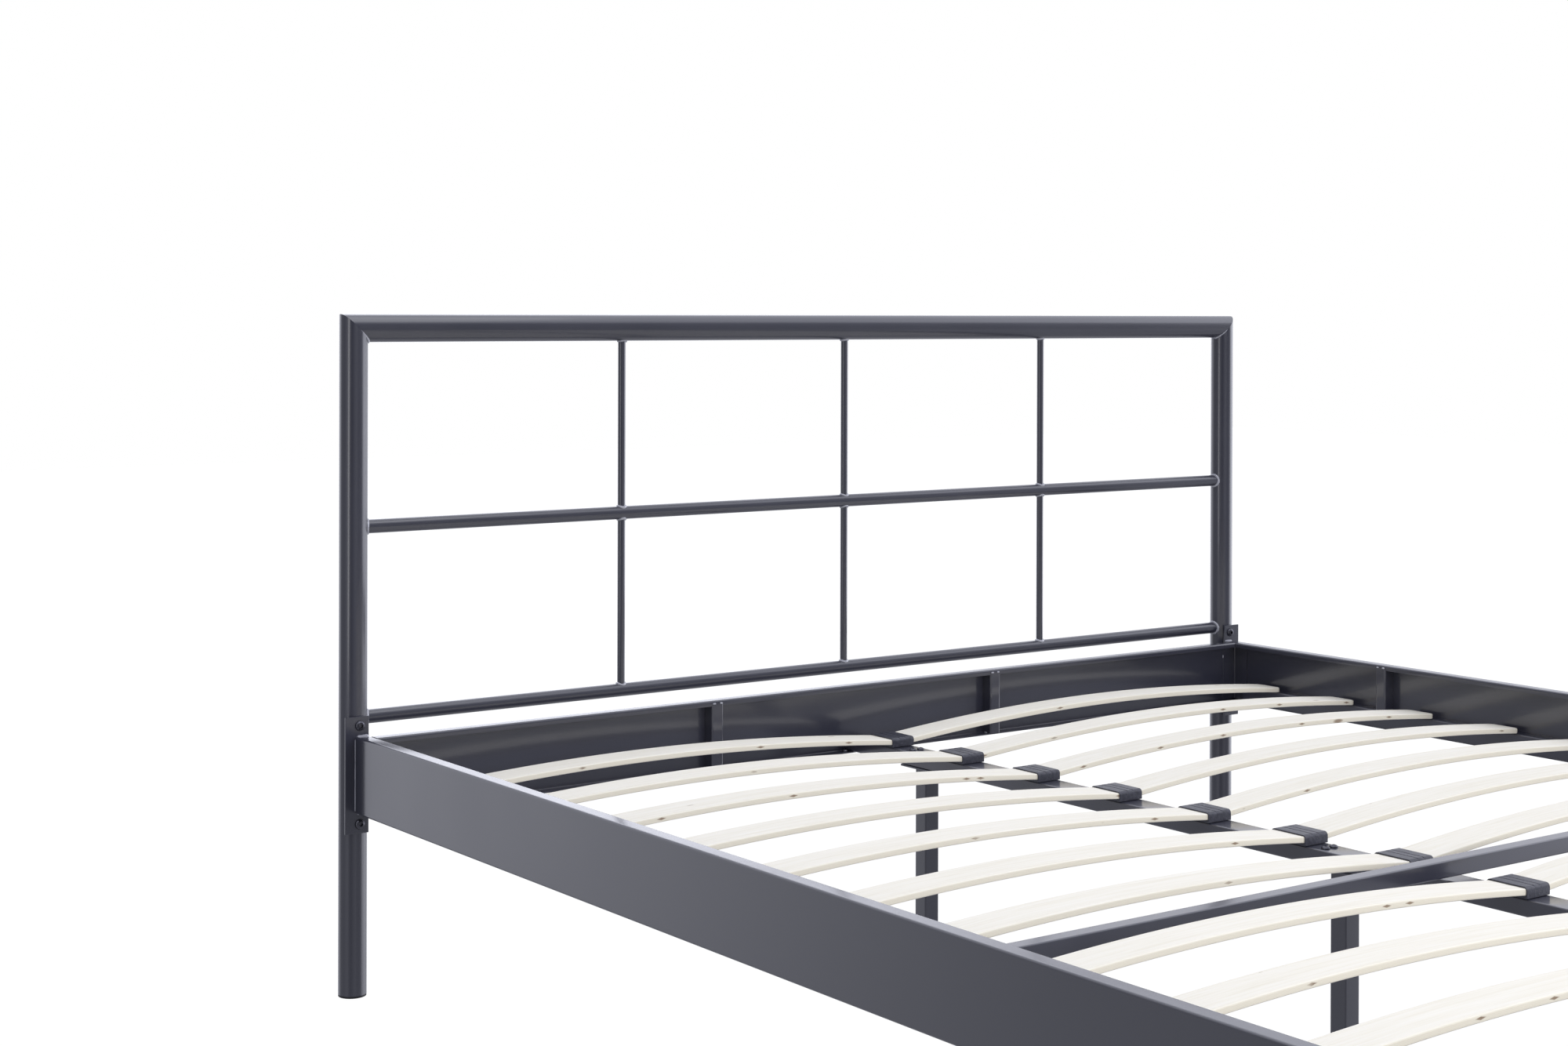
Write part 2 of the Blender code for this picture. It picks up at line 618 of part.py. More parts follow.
def main():
    for old in list(bpy.data.objects):
        bpy.data.objects.remove(old, do_unlink=True)

    slate = material("slate_powder_coat", (0.075, 0.077, 0.092), 0.38, 0.0)
    zinc = material("black_zinc", (0.060, 0.060, 0.066), 0.30, 1.0)
    birch = material("birch_ply", (0.86, 0.84, 0.76), 0.45, 0.0)
    plastic = material("charcoal_plastic", (0.050, 0.052, 0.062), 0.42, 0.0)

    headboard_posts(slate)
    headboard_top_rail(slate)
    headboard_middle_rail(slate)
    thin_rail("headboard_bottom_rail", BOTTOM_RAIL_HEIGHT, slate)
    headboard_bars(slate)
    side_rails(slate)
    end_rail("head_rail", 1, slate)
    end_rail("foot_rail", -1, slate)
    headboard_bolts(zinc)
    foot_legs(slate)
    centre_beam(slate)
    cross_bar(slate)
    centre_legs(slate)
    slats(birch)
    slat_caps(plastic)


main()
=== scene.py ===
# %% [markdown]
# # A metal bed frame with sprung slats
#
# This lesson dresses a finished CAD model of a bed frame. The CAD solids give every size and place. Here
# each solid gets the rounding, the welds and the surface that a workshop would give it. The frame is one
# rigid body, because no part of this bed turns or slides.

# %% Load the frame
import math

import bmesh
import bpy
from mathutils import Matrix, Vector, noise


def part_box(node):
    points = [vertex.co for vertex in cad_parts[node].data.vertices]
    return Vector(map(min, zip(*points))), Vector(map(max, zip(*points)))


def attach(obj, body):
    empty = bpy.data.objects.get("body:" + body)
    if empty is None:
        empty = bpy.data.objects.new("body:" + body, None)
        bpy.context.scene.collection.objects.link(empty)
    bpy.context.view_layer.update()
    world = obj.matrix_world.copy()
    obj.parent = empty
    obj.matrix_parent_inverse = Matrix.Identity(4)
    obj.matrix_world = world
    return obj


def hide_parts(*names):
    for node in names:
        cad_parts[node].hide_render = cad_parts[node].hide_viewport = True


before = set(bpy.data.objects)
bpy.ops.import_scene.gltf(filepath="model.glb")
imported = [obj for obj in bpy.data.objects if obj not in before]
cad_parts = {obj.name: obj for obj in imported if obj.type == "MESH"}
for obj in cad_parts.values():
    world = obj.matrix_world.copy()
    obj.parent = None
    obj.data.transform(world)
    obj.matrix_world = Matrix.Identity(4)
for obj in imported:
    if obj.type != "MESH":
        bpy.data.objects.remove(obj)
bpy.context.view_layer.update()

print("CAD nodes:", len(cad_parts))

# %% [markdown]
# ## Sizes that the pieces share
#
# The CAD boxes say where each tube and rail lies. A few sizes of the folded sheet can't be read from a
# box, so they are named here. They are the sizes of real stock, such as 2 mm sheet and 1.5 mm tube wall.

# %% Read the places of the main parts
MM = 0.001
TOLERANCE = 0.01 * MM  # two places nearer than this count as the same
SHEET = 2.0 * MM
FLANGE = 20 * MM
LIP = 8 * MM
GAP = 0.3 * MM
BEND = 1.0 * MM  # inner radius of a bend in the sheet
TUBE_WALL = 1.5 * MM

post_low, post_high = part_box("headboard_post_right")
post_radius = (post_high.x - post_low.x) / 2
post_x = (post_high.x + post_low.x) / 2
post_y = (post_high.y + post_low.y) / 2

top_low, top_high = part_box("headboard_top_rail")
top_rail_z = (top_high.z + top_low.z) / 2

head_low, head_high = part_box("head_rail")
rail_bottom = head_low.z
rail_top = head_high.z
rail_height = rail_top - rail_bottom
end_rail_y = head_high.y
# The head rail's corner angles end just inside the sheet of the side rails.
side_rail_x = head_high.x + GAP + SHEET
end_rail_reach = side_rail_x - FLANGE - GAP

plate_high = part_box("side_rail_right")[1]
print("posts at x", round(post_x, 4), "and y", round(post_y, 4))
print("rails from z", round(rail_bottom, 4), "to", round(rail_top, 4))

# %% [markdown]
# ## The camera
#
# The camera stands off the left side near the foot end, at the height of the headboard, with a level
# view. Its lens is a moderate one. Upright tubes stay upright in the frame because the sensor is shifted,
# as on an architect's camera, and the camera itself is hardly tipped.

# %% Place the camera
VIEW_YAW = 0.6413
VIEW_PITCH = -0.004
VIEW_ROLL = 0.003
CAMERA_PLACE = Vector((-2.227, -1.9944, 0.9219))
LENS = 55.75  # millimetres
SENSOR_WIDTH = 36  # millimetres
SENSOR_SHIFT = (-0.05, -0.1279)

ahead = Vector(
    (
        math.sin(VIEW_YAW) * math.cos(VIEW_PITCH),
        math.cos(VIEW_YAW) * math.cos(VIEW_PITCH),
        math.sin(VIEW_PITCH),
    )
)
level_right = Vector((math.cos(VIEW_YAW), -math.sin(VIEW_YAW), 0))
level_up = level_right.cross(ahead)
right = math.cos(VIEW_ROLL) * level_right + math.sin(VIEW_ROLL) * level_up
up = math.cos(VIEW_ROLL) * level_up - math.sin(VIEW_ROLL) * level_right

camera = bpy.data.objects.new("camera", bpy.data.cameras.new("camera"))
bpy.context.scene.collection.objects.link(camera)
turned = Matrix((right, up, -ahead)).transposed().to_4x4()
camera.matrix_world = Matrix.Translation(CAMERA_PLACE) @ turned
camera.data.lens = LENS
camera.data.sensor_width = SENSOR_WIDTH
camera.data.shift_x, camera.data.shift_y = SENSOR_SHIFT
bpy.context.scene.camera = camera
print("camera yaw in degrees:", round(math.degrees(VIEW_YAW), 1))

# %% [markdown]
# ## Helpers for the finishes
#
# Every finish below is a small node tree. One function adds a node, sets its values and joins its inputs,
# so a tree reads from top to bottom. Colours are written as the sRGB hex values of a paint card, and one
# function turns them into the linear values that the renderer works in.

# %% Helpers for node trees
def linear(hex_colour):
    channels = []
    for start in (1, 3, 5):
        value = int(hex_colour[start : start + 2], 16) / 255
        channels.append(value / 12.92 if value <= 0.04045 else ((value + 0.055) / 1.055) ** 2.4)
    return (*channels, 1.0)


def add_node(tree, kind, settings=None, inputs=None):
    """Add a node. settings are its own choices, and each input is given a value or another node's output."""
    made = tree.nodes.new("ShaderNode" + kind)
    for name, choice in (settings or {}).items():
        setattr(made, name, choice)
    for socket, given in (inputs or {}).items():
        if isinstance(given, bpy.types.NodeSocket):
            tree.links.new(given, made.inputs[socket])
        else:
            made.inputs[socket].default_value = given
    return made


def set_ramp(ramp_node, stops):
    """Give a colour ramp its stops, as (position, hex colour)."""
    ramp = ramp_node.color_ramp
    while len(ramp.elements) < len(stops):
        ramp.elements.new(1.0)
    for element, (position, colour) in zip(ramp.elements, stops):
        element.position = position
        element.color = linear(colour)


def new_finish(name):
    """An empty material with a shader, and the coordinates of the piece that it is on."""
    finish = bpy.data.materials.new(name)
    finish.use_nodes = True
    tree = finish.node_tree
    shader = tree.nodes["Principled BSDF"]
    place = add_node(tree, "TexCoord")
    return finish, tree, shader, place.outputs["Object"]


print("white of the paint card:", linear("#FFFFFF")[:3])

# %% [markdown]
# ## Powder coat
#
# The steel is sprayed with polyester powder and baked. The powder melts into a satin skin, a tenth of a
# millimetre thick, that is never quite flat: it keeps a fine orange peel with waves of 1 to 3 mm. That
# peel breaks up reflections just enough to look like paint and not like plastic. The colour itself drifts
# by a shade where the coat is thicker. A clear coat goes over it, so there are two layers of gloss: a
# broad one from the powder and a tighter one from the clear. The weld beads wear the same slate coat, but
# here their coat is drawn paler and glossier: the pale colour is a painted highlight for the light they
# catch.

# %% Make the powder coat
PEEL_WAVES_PER_METRE = 420
PEEL_HEIGHT = 0.1 * MM
SPECK_PER_METRE = 1500
DRIFT_PER_METRE = 5
POWDER_IOR = 1.58
CLEAR_IOR = 1.68


def powder_coat(name, deep, pale, rough_low, rough_high, peel):
    finish, tree, shader, place = new_finish(name)
    drift = add_node(tree, "TexNoise", inputs={"Scale": DRIFT_PER_METRE, "Detail": 2.0, "Vector": place})
    specks = add_node(tree, "TexNoise", inputs={"Scale": SPECK_PER_METRE, "Detail": 1.0, "Vector": place})
    blend = add_node(
        tree,
        "Math",
        {"operation": "MULTIPLY_ADD"},
        {0: specks.outputs["Fac"], 1: 0.35, 2: drift.outputs["Fac"]},
    )
    tint = add_node(tree, "ValToRGB", inputs={"Fac": blend.outputs[0]})
    set_ramp(tint, [(0.45, deep), (0.9, pale)])
    gloss = add_node(
        tree,
        "MapRange",
        inputs={
            "From Min": 0.3,
            "From Max": 0.7,
            "To Min": rough_low,
            "To Max": rough_high,
            "Value": drift.outputs["Fac"],
        },
    )
    waves = add_node(
        tree, "TexNoise", inputs={"Scale": PEEL_WAVES_PER_METRE, "Detail": 2.0, "Vector": place}
    )
    bump = add_node(
        tree, "Bump", inputs={"Strength": peel, "Distance": PEEL_HEIGHT, "Height": waves.outputs["Fac"]}
    )
    tree.links.new(tint.outputs["Color"], shader.inputs["Base Color"])
    tree.links.new(gloss.outputs["Result"], shader.inputs["Roughness"])
    tree.links.new(bump.outputs["Normal"], shader.inputs["Normal"])
    shader.inputs["IOR"].default_value = POWDER_IOR
    shader.inputs["Coat Weight"].default_value = 1.0
    shader.inputs["Coat Roughness"].default_value = 0.14
    shader.inputs["Coat IOR"].default_value = CLEAR_IOR
    return finish


slate_powder_coat = powder_coat("slate_powder_coat", "#2D2E3B", "#333441", 0.31, 0.4, 0.14)
# The weld coat's pale colours are a painted highlight: the beads really carry the same slate coat as the
# tubes.
weld_coat_painted_highlight = powder_coat("weld_coat_painted_highlight", "#8B8C98", "#BFC0C9", 0.14, 0.22, 0.8)
print("finishes:", slate_powder_coat.name, weld_coat_painted_highlight.name)

# %% [markdown]
# ## Birch ply
#
# A sprung slat is five or six veneers of birch glued in a curved press, sanded and sealed. The face is a
# creamy white with faint long grain and a rare pin knot. The long edges show the glue lines between
# veneers and short brown marks where the veneer was cut. The edges need to know how high they are in the
# slat before it was bent, so each slat carries that height, and how near its edge a point is, as
# attributes.

# %% Make the birch ply
VENEER = 1.5 * MM
GRAIN_STRETCH = (3.0, 90.0, 60.0)  # waves in a metre along, across and through the slat
KNOT_CELLS = (9.0, 32.0, 32.0)  # in a metre, the same three ways; few of them hold a knot
MARKS_PER_METRE = 7
MARK_HEIGHT = 4.5 * MM
MARK_SHUFFLE = 37.7  # moves the marks along, by a different amount for each slat
MARK_TAPER = 30.0  # how fast a mark narrows above and below its middle
KNOT_BROWN = "#7A5B3E"


def birch_ply(name):
    finish, tree, shader, place = new_finish(name)
    height = add_node(tree, "Attribute", {"attribute_name": "ply_height"})
    edge = add_node(tree, "Attribute", {"attribute_name": "edge_share"})

    along = add_node(tree, "Mapping", inputs={"Scale": GRAIN_STRETCH, "Vector": place})
    grain = add_node(
        tree, "TexNoise", inputs={"Scale": 2.5, "Detail": 5.0, "Roughness": 0.6, "Vector": along.outputs[0]}
    )
    face = add_node(tree, "ValToRGB", inputs={"Fac": grain.outputs["Fac"]})
    set_ramp(face, [(0.25, "#E8E3D3"), (0.45, "#EFEBDE"), (0.7, "#F3F0E6")])

    layers = add_node(tree, "Math", {"operation": "DIVIDE"}, {0: height.outputs["Fac"], 1: VENEER})
    wobble = add_node(
        tree, "Math", {"operation": "MULTIPLY_ADD"}, {0: grain.outputs["Fac"], 1: 0.5, 2: layers.outputs[0]}
    )
    layer = add_node(tree, "Math", {"operation": "FRACT"}, {0: wobble.outputs[0]})
    ply = add_node(tree, "ValToRGB", inputs={"Fac": layer.outputs[0]})
    veneers = [(0.0, "#E0D7C0"), (0.12, "#EFE8D6"), (0.5, "#F5F0E1"), (0.62, "#EAE2CE"), (1.0, "#F2ECDC")]
    set_ramp(ply, veneers)

    side = add_node(
        tree,
        "MapRange",
        inputs={"From Min": 0.25, "From Max": 0.8, "To Max": 0.9, "Value": edge.outputs["Fac"]},
    )
    wood = add_node(
        tree,
        "Mix",
        {"data_type": "RGBA"},
        {0: side.outputs["Result"], 6: face.outputs["Color"], 7: ply.outputs["Color"]},
    )

    knot_space = add_node(tree, "Mapping", inputs={"Scale": KNOT_CELLS, "Vector": place})
    knots = add_node(tree, "TexVoronoi", inputs={"Scale": 1.0, "Vector": knot_space.outputs[0]})
    rare = add_node(tree, "TexNoise", inputs={"Scale": 6.0, "Detail": 1.0, "Vector": place})
    reach = add_node(
        tree,
        "MapRange",
        inputs={"From Min": 0.5, "From Max": 0.66, "To Max": 0.13, "Value": rare.outputs["Fac"]},
    )
    inside = add_node(
        tree, "Math", {"operation": "SUBTRACT"}, {0: reach.outputs["Result"], 1: knots.outputs["Distance"]}
    )
    knot = add_node(
        tree,
        "MapRange",
        inputs={"From Min": 0.0, "From Max": 0.05, "To Max": 0.75, "Value": inside.outputs[0]},
    )
    # Marks where the veneer was cut: dashes half way up the long edges, one at most in each stretch of a slat
    apart = add_node(tree, "SeparateXYZ", inputs={0: place})
    stretch = add_node(tree, "Math", {"operation": "MULTIPLY"}, {0: apart.outputs["X"], 1: MARKS_PER_METRE})
    shuffle = add_node(
        tree,
        "Math",
        {"operation": "MULTIPLY_ADD"},
        {0: apart.outputs["Y"], 1: MARK_SHUFFLE, 2: stretch.outputs[0]},
    )
    dash = add_node(
        tree, "TexVoronoi", {"voronoi_dimensions": "1D"}, {"Scale": 1.0, "W": shuffle.outputs[0]}
    )
    off_middle = add_node(
        tree, "Math", {"operation": "SUBTRACT"}, {0: height.outputs["Fac"], 1: MARK_HEIGHT}
    )
    off_size = add_node(tree, "Math", {"operation": "ABSOLUTE"}, {0: off_middle.outputs[0]})
    spread = add_node(
        tree,
        "Math",
        {"operation": "MULTIPLY_ADD"},
        {0: off_size.outputs[0], 1: MARK_TAPER, 2: dash.outputs["Distance"]},
    )
    dark = add_node(
        tree,
        "MapRange",
        inputs={"From Min": 0.062, "From Max": 0.035, "To Max": 0.8, "Value": spread.outputs[0]},
    )
    chosen = add_node(
        tree, "MapRange", inputs={"From Min": 0.5, "From Max": 0.53, "Value": rare.outputs["Fac"]}
    )
    on_side = add_node(
        tree, "Math", {"operation": "MULTIPLY"}, {0: dark.outputs["Result"], 1: chosen.outputs["Result"]}
    )
    any_mark = add_node(
        tree, "Math", {"operation": "MAXIMUM"}, {0: on_side.outputs[0], 1: knot.outputs["Result"]}
    )
    marked = add_node(
        tree,
        "Mix",
        {"data_type": "RGBA"},
        {0: any_mark.outputs[0], 6: wood.outputs[2], 7: linear(KNOT_BROWN)},
    )

    bump = add_node(
        tree, "Bump", inputs={"Strength": 0.12, "Distance": 0.1 * MM, "Height": grain.outputs["Fac"]}
    )
    tree.links.new(marked.outputs[2], shader.inputs["Base Color"])
    tree.links.new(bump.outputs["Normal"], shader.inputs["Normal"])
    shader.inputs["Roughness"].default_value = 0.68
    shader.inputs["IOR"].default_value = 1.35
    return finish


birch = birch_ply("birch_ply")
print("finish:", birch.name)

# %% [markdown]
# ## Moulded plastic and plated screws
#
# The slat caps are moulded in soft polypropylene with a leathery grain etched into the mould. The real
# cells are about 1.5 mm wide, too fine to show from across a room, so here they are drawn about 2.5 mm
# wide. The plugs in the tubes are plain polyethylene. The screws are steel with a black zinc plate, so
# they are metallic, dark and fairly bright.

# %% Make the plastics and the plate
GRAIN_CELLS_PER_METRE = 420


def grained_plastic(name, deep, pale, roughness, cells_per_metre, relief):
    finish, tree, shader, place = new_finish(name)
    cells = add_node(
        tree, "TexVoronoi", {"feature": "DISTANCE_TO_EDGE"}, {"Scale": cells_per_metre, "Vector": place}
    )
    soft = add_node(
        tree, "TexNoise", inputs={"Scale": cells_per_metre * 0.6, "Detail": 3.0, "Vector": place}
    )
    relief_height = add_node(
        tree, "Math", {"operation": "ADD"}, {0: cells.outputs["Distance"], 1: soft.outputs["Fac"]}
    )
    tint = add_node(tree, "ValToRGB", inputs={"Fac": soft.outputs["Fac"]})
    set_ramp(tint, [(0.3, deep), (0.75, pale)])
    bump = add_node(
        tree, "Bump", inputs={"Strength": relief, "Distance": 0.3 * MM, "Height": relief_height.outputs[0]}
    )
    tree.links.new(tint.outputs["Color"], shader.inputs["Base Color"])
    tree.links.new(bump.outputs["Normal"], shader.inputs["Normal"])
    shader.inputs["Roughness"].default_value = roughness
    shader.inputs["IOR"].default_value = 1.49
    return finish


charcoal_polypropylene = grained_plastic(
    "charcoal_polypropylene", "#31323B", "#474853", 0.3, GRAIN_CELLS_PER_METRE, 1.0
)
black_polyethylene = grained_plastic("black_polyethylene", "#1B1B1E", "#26262A", 0.5, 900, 0.3)


def black_zinc_plate(name):
    finish, tree, shader, place = new_finish(name)
    patches = add_node(tree, "TexNoise", inputs={"Scale": 700.0, "Detail": 3.0, "Vector": place})
    tint = add_node(tree, "ValToRGB", inputs={"Fac": patches.outputs["Fac"]})
    set_ramp(tint, [(0.3, "#4A4A50"), (0.7, "#6C6C74")])
    gloss = add_node(
        tree, "MapRange", inputs={"To Min": 0.18, "To Max": 0.34, "Value": patches.outputs["Fac"]}
    )
    tree.links.new(tint.outputs["Color"], shader.inputs["Base Color"])
    tree.links.new(gloss.outputs["Result"], shader.inputs["Roughness"])
    shader.inputs["Metallic"].default_value = 1.0
    return finish


black_zinc = black_zinc_plate("black_zinc")
print("finishes:", charcoal_polypropylene.name, black_polyethylene.name, black_zinc.name)

# %% [markdown]
# ## Turning a mesh into a piece
#
# Each piece is built in a bmesh where it will stay, so its object needs no move or turn. Long flat faces
# that meet small rounded ones would shade unevenly, so the piece takes its normals from its larger faces.

# %% Helpers for pieces
made_pieces = []


def make_piece(name, bm, finish, replaces=(), sharp=35, flats=True):
    bmesh.ops.remove_doubles(bm, verts=bm.verts, dist=0.002 * MM)
    bmesh.ops.recalc_face_normals(bm, faces=bm.faces)
    mesh = bpy.data.meshes.new(name)
    bm.to_mesh(mesh)
    bm.free()
    mesh.materials.append(finish)
    mesh.shade_smooth()
    mesh.set_sharp_from_angle(angle=math.radians(sharp))
    piece = bpy.data.objects.new(name, mesh)
    bpy.context.scene.collection.objects.link(piece)
    if flats:
        weigh = piece.modifiers.new("flats", "WEIGHTED_NORMAL")
        weigh.keep_sharp = True
    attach(piece, "root")
    if replaces:
        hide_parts(*replaces)
    made_pieces.append(piece)
    return piece


def verts_of(geometry):
    return [item for item in geometry if isinstance(item, bmesh.types.BMVert)]


def move(bm, verts, step):
    bmesh.ops.translate(bm, vec=step, verts=verts)


# Turns that lay a shape made along Z along another axis
ALONG = {
    "X": Matrix(((0, 0, 1), (1, 0, 0), (0, 1, 0))),
    "Y": Matrix(((1, 0, 0), (0, 0, 1), (0, 1, 0))),
    "Z": Matrix.Identity(3),
}


def lay(bm, verts, axis, place):
    """Turn verts made along Z so that they run along axis, then move them to place."""
    bmesh.ops.transform(bm, matrix=ALONG[axis].to_4x4(), verts=verts)
    move(bm, verts, place)


def round_tube(bm, radius, wall, start, end, segments=64):
    """Two circles bridged into a ring, which is extruded along Z. Returns the low and the high verts."""
    rims = []
    for ring_radius in (radius, radius - wall):
        circle = bmesh.ops.create_circle(bm, segments=segments, radius=ring_radius)["verts"]
        move(bm, circle, (0, 0, start))
        rims += list({edge for vert in circle for edge in vert.link_edges})
    low = list({vert for edge in rims for vert in edge.verts})
    ring = bmesh.ops.bridge_loops(bm, edges=rims)["faces"]
    high = verts_of(bmesh.ops.extrude_face_region(bm, geom=ring)["geom"])
    move(bm, high, (0, 0, end - start))
    return low, high


def square_tube(bm, width, depth, wall, corner, start, end, axis, place):
    """A rounded rectangle, inset by the wall, its middle removed, then extruded."""
    before = set(bm.verts)
    sheet = bmesh.ops.create_grid(bm, x_segments=1, y_segments=1, size=0.5)["verts"]
    bmesh.ops.scale(bm, vec=(width, depth, 1), verts=sheet)
    bmesh.ops.bevel(bm, geom=sheet, offset=corner, segments=5, profile=0.5, affect="VERTICES", material=-1)
    face = [f for f in bm.faces if not set(f.verts) & before]
    bmesh.ops.inset_region(bm, faces=face, thickness=wall, use_boundary=True, use_even_offset=True)
    middle = max((f for f in bm.faces if not set(f.verts) & before), key=lambda f: len(f.verts))
    bmesh.ops.delete(bm, geom=[middle], context="FACES_ONLY")
    ring = [f for f in bm.faces if not set(f.verts) & before]
    far = verts_of(bmesh.ops.extrude_face_region(bm, geom=ring)["geom"])
    move(bm, far, (0, 0, end - start))
    made = [vert for vert in bm.verts if vert not in before]
    move(bm, made, (0, 0, start))
    lay(bm, made, axis, place)


def turn_round(bm, outline, steps):
    """Spin an outline once round Z, as a lathe turns a part."""
    bmesh.ops.spin(
        bm,
        geom=outline,
        axis=(0, 0, 1),
        cent=(0, 0, 0),
        angle=math.radians(360),
        steps=steps,
        use_merge=True,
    )


EASED = 0.35 * MM  # how much a cut edge of sheet is eased


def folded_strip(bm, outline, outer_bends, inner_bends, bend, run):
    """Sweep a sheet's section along Z. Bends are rounded, and the cut edges are eased a little."""
    before = set(bm.verts)
    corners = [bm.verts.new((across, high, 0)) for across, high in outline]
    bm.faces.new(corners)
    bends = {*outer_bends, *inner_bends}
    groups = [
        ([corners[number] for number in outer_bends], bend + SHEET, 6),
        ([corners[number] for number in inner_bends], bend, 4),
        ([vert for number, vert in enumerate(corners) if number not in bends], EASED, 2),
    ]
    for group, size, steps in groups:
        bmesh.ops.bevel(
            bm, geom=group, offset=size, segments=steps, profile=0.5, affect="VERTICES", material=-1
        )
    face = [f for f in bm.faces if not set(f.verts) & before]
    far = verts_of(bmesh.ops.extrude_face_region(bm, geom=face)["geom"])
    move(bm, far, (0, 0, run))
    return [vert for vert in bm.verts if vert not in before]


def soft_box(bm, low, high, ease, steps=2):
    """A block between two corners with all its edges eased."""
    block = bmesh.ops.create_cube(bm, size=1.0)["verts"]
    size = [b - a for a, b in zip(low, high)]
    middle = [(a + b) / 2 for a, b in zip(low, high)]
    bmesh.ops.scale(bm, vec=size, verts=block)
    move(bm, block, middle)
    edges = list({edge for vert in block for edge in vert.link_edges})
    bmesh.ops.bevel(bm, geom=edges, offset=ease, segments=steps, profile=0.5, affect="EDGES", material=-1)


print("a folded strip's cut edges are eased by", EASED * 1000, "mm")

# %% [markdown]
# ## Weld beads
#
# Every joint of the headboard is a hand weld that was cleaned up and painted over. A bead is a thin roll
# of metal that follows the line where two pieces meet. It swells and shrinks where the welder paused, so
# a short bead shines in spots. A ring bead is a small circle spun round, a straight bead is the same
# circle swept.

# %% Helpers for weld beads
BEAD_SIDES = 8


def swell(place, strength=0.35):
    """How thick a bead is at a place along it, near 1: two sizes of ripple."""
    coarse = noise.noise(place * 90)
    fine = noise.noise(place * 420)
    return 1 + strength * (coarse + 0.6 * fine)


def bead_ring(bm, radius, thick, axis, place, follow=None, size=None, steps=44):
    """A bead round a tube. follow gives its shift along the axis, and size its thickness, from (x, y)."""
    circle = bmesh.ops.create_circle(bm, segments=BEAD_SIDES, radius=thick)["verts"]
    bmesh.ops.transform(bm, matrix=ALONG["Y"].to_4x4(), verts=circle)
    move(bm, circle, (radius, 0, 0))
    before = set(bm.verts) - set(circle)
    edges = list({edge for vert in circle for edge in vert.link_edges})
    turn_round(bm, circle + edges, steps)
    made = [vert for vert in bm.verts if vert not in before]
    for vert in made:
        flat = Vector((vert.co.x, vert.co.y, 0)).normalized() * radius
        thickness = swell(flat + Vector(place)) * (size(flat.x, flat.y) if size else 1)
        vert.co = flat + (vert.co - flat) * thickness
        if follow:
            vert.co.z += follow(flat.x, flat.y)
    lay(bm, made, axis, place)


def bead_line(bm, start, end, thick, step=1.6 * MM):
    """A straight bead between two points, its ends drawn in to a tip."""
    start, end = Vector(start), Vector(end)
    run = end - start
    steps = max(3, round(run.length / step))
    before = set(bm.verts)
    circle = bmesh.ops.create_circle(bm, segments=BEAD_SIDES, radius=thick)["verts"]
    turn = Vector((0, 0, 1)).rotation_difference(run).to_matrix().to_4x4()
    bmesh.ops.transform(bm, matrix=Matrix.Translation(start) @ turn, verts=circle)
    edges = list({edge for vert in circle for edge in vert.link_edges})
    bmesh.ops.spin(
        bm, geom=circle + edges, axis=(0, 0, 1), cent=(0, 0, 0), dvec=run / steps, angle=0, steps=steps
    )
    for vert in [vert for vert in bm.verts if vert not in before]:
        along = (vert.co - start).dot(run) / run.length_squared
        core = start + run * along
        from_end = min(along, 1 - along) * run.length / (1.5 * thick)
        tip = math.sqrt(max(0.0, 1 - (1 - min(from_end, 1)) ** 2))
        vert.co = core + (vert.co - core) * tip * swell(core)


print("a bead has", BEAD_SIDES, "sides")

# %% [markdown]
# ## The headboard's hoop
#
# The two posts and the top rail are one size of tube, cut at 45 degrees and welded into a hoop. A post
# stops 3 mm above the floor, where the flange of its plastic plug sits. Both tubes are hollow, with a 1.5
# mm wall.

# %% Posts and top rail
PLUG_FLANGE = 3 * MM
MITRE_BACK = GAP / 4  # the weld closes the rest


def lean(verts, slope, axis=0):
    """Slide verts along Z by slope times their x or y, which cuts a tube's end at a slant."""
    for vert in verts:
        vert.co.z += slope * vert.co[axis]


def posts(side, sign):
    bm = bmesh.new()
    high = round_tube(bm, post_radius, TUBE_WALL, PLUG_FLANGE, top_rail_z - MITRE_BACK)[1]
    lean(high, sign)
    move(bm, bm.verts, (sign * post_x, post_y, 0))
    name = "headboard_post_" + side
    make_piece("tube_" + name, bm, slate_powder_coat, [name])


def top_rail():
    bm = bmesh.new()
    reach = post_x - MITRE_BACK
    low, high = round_tube(bm, post_radius, TUBE_WALL, -reach, reach)
    lean(low, -1, axis=1)
    lean(high, 1, axis=1)
    lay(bm, bm.verts, "X", (0, post_y, top_rail_z))
    name = "headboard_top_rail"
    make_piece("tube_" + name, bm, slate_powder_coat, [name])


SIDES = (("left", -1), ("right", 1))
for side, sign in SIDES:
    posts(side, sign)
top_rail()
print("hoop:", [piece.name for piece in made_pieces])

# %% [markdown]
# ## Thin rails and bars
#
# Two thin rails run between the posts. Their ends are cut to fit round a post, which is done here by
# sliding each end vertex to the post's surface and 1 mm further in. Three round bars rise from the lower
# rail, pass through the middle one and end under the top rail.

# %% Rails and bars
THIN_WALL = 1.2 * MM
WELD_DEPTH = 1.0 * MM
bar_low, bar_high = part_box("headboard_bar_2")
bar_radius = (bar_high.x - bar_low.x) / 2


def middle_of(node):
    low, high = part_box(node)
    return (low + high) / 2


def tube_reach(radius, offset):
    """How far a tube's surface lies from its axis, seen straight on, at an offset to one side."""
    return math.sqrt(max(radius**2 - offset**2, 0.0))


thin_low, thin_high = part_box("headboard_middle_rail")
thin_radius = (thin_high.z - thin_low.z) / 2
bar_names = ["headboard_bar_" + str(number) for number in (1, 2, 3)]
thin_names = ["headboard_middle_rail", "headboard_bottom_rail"]


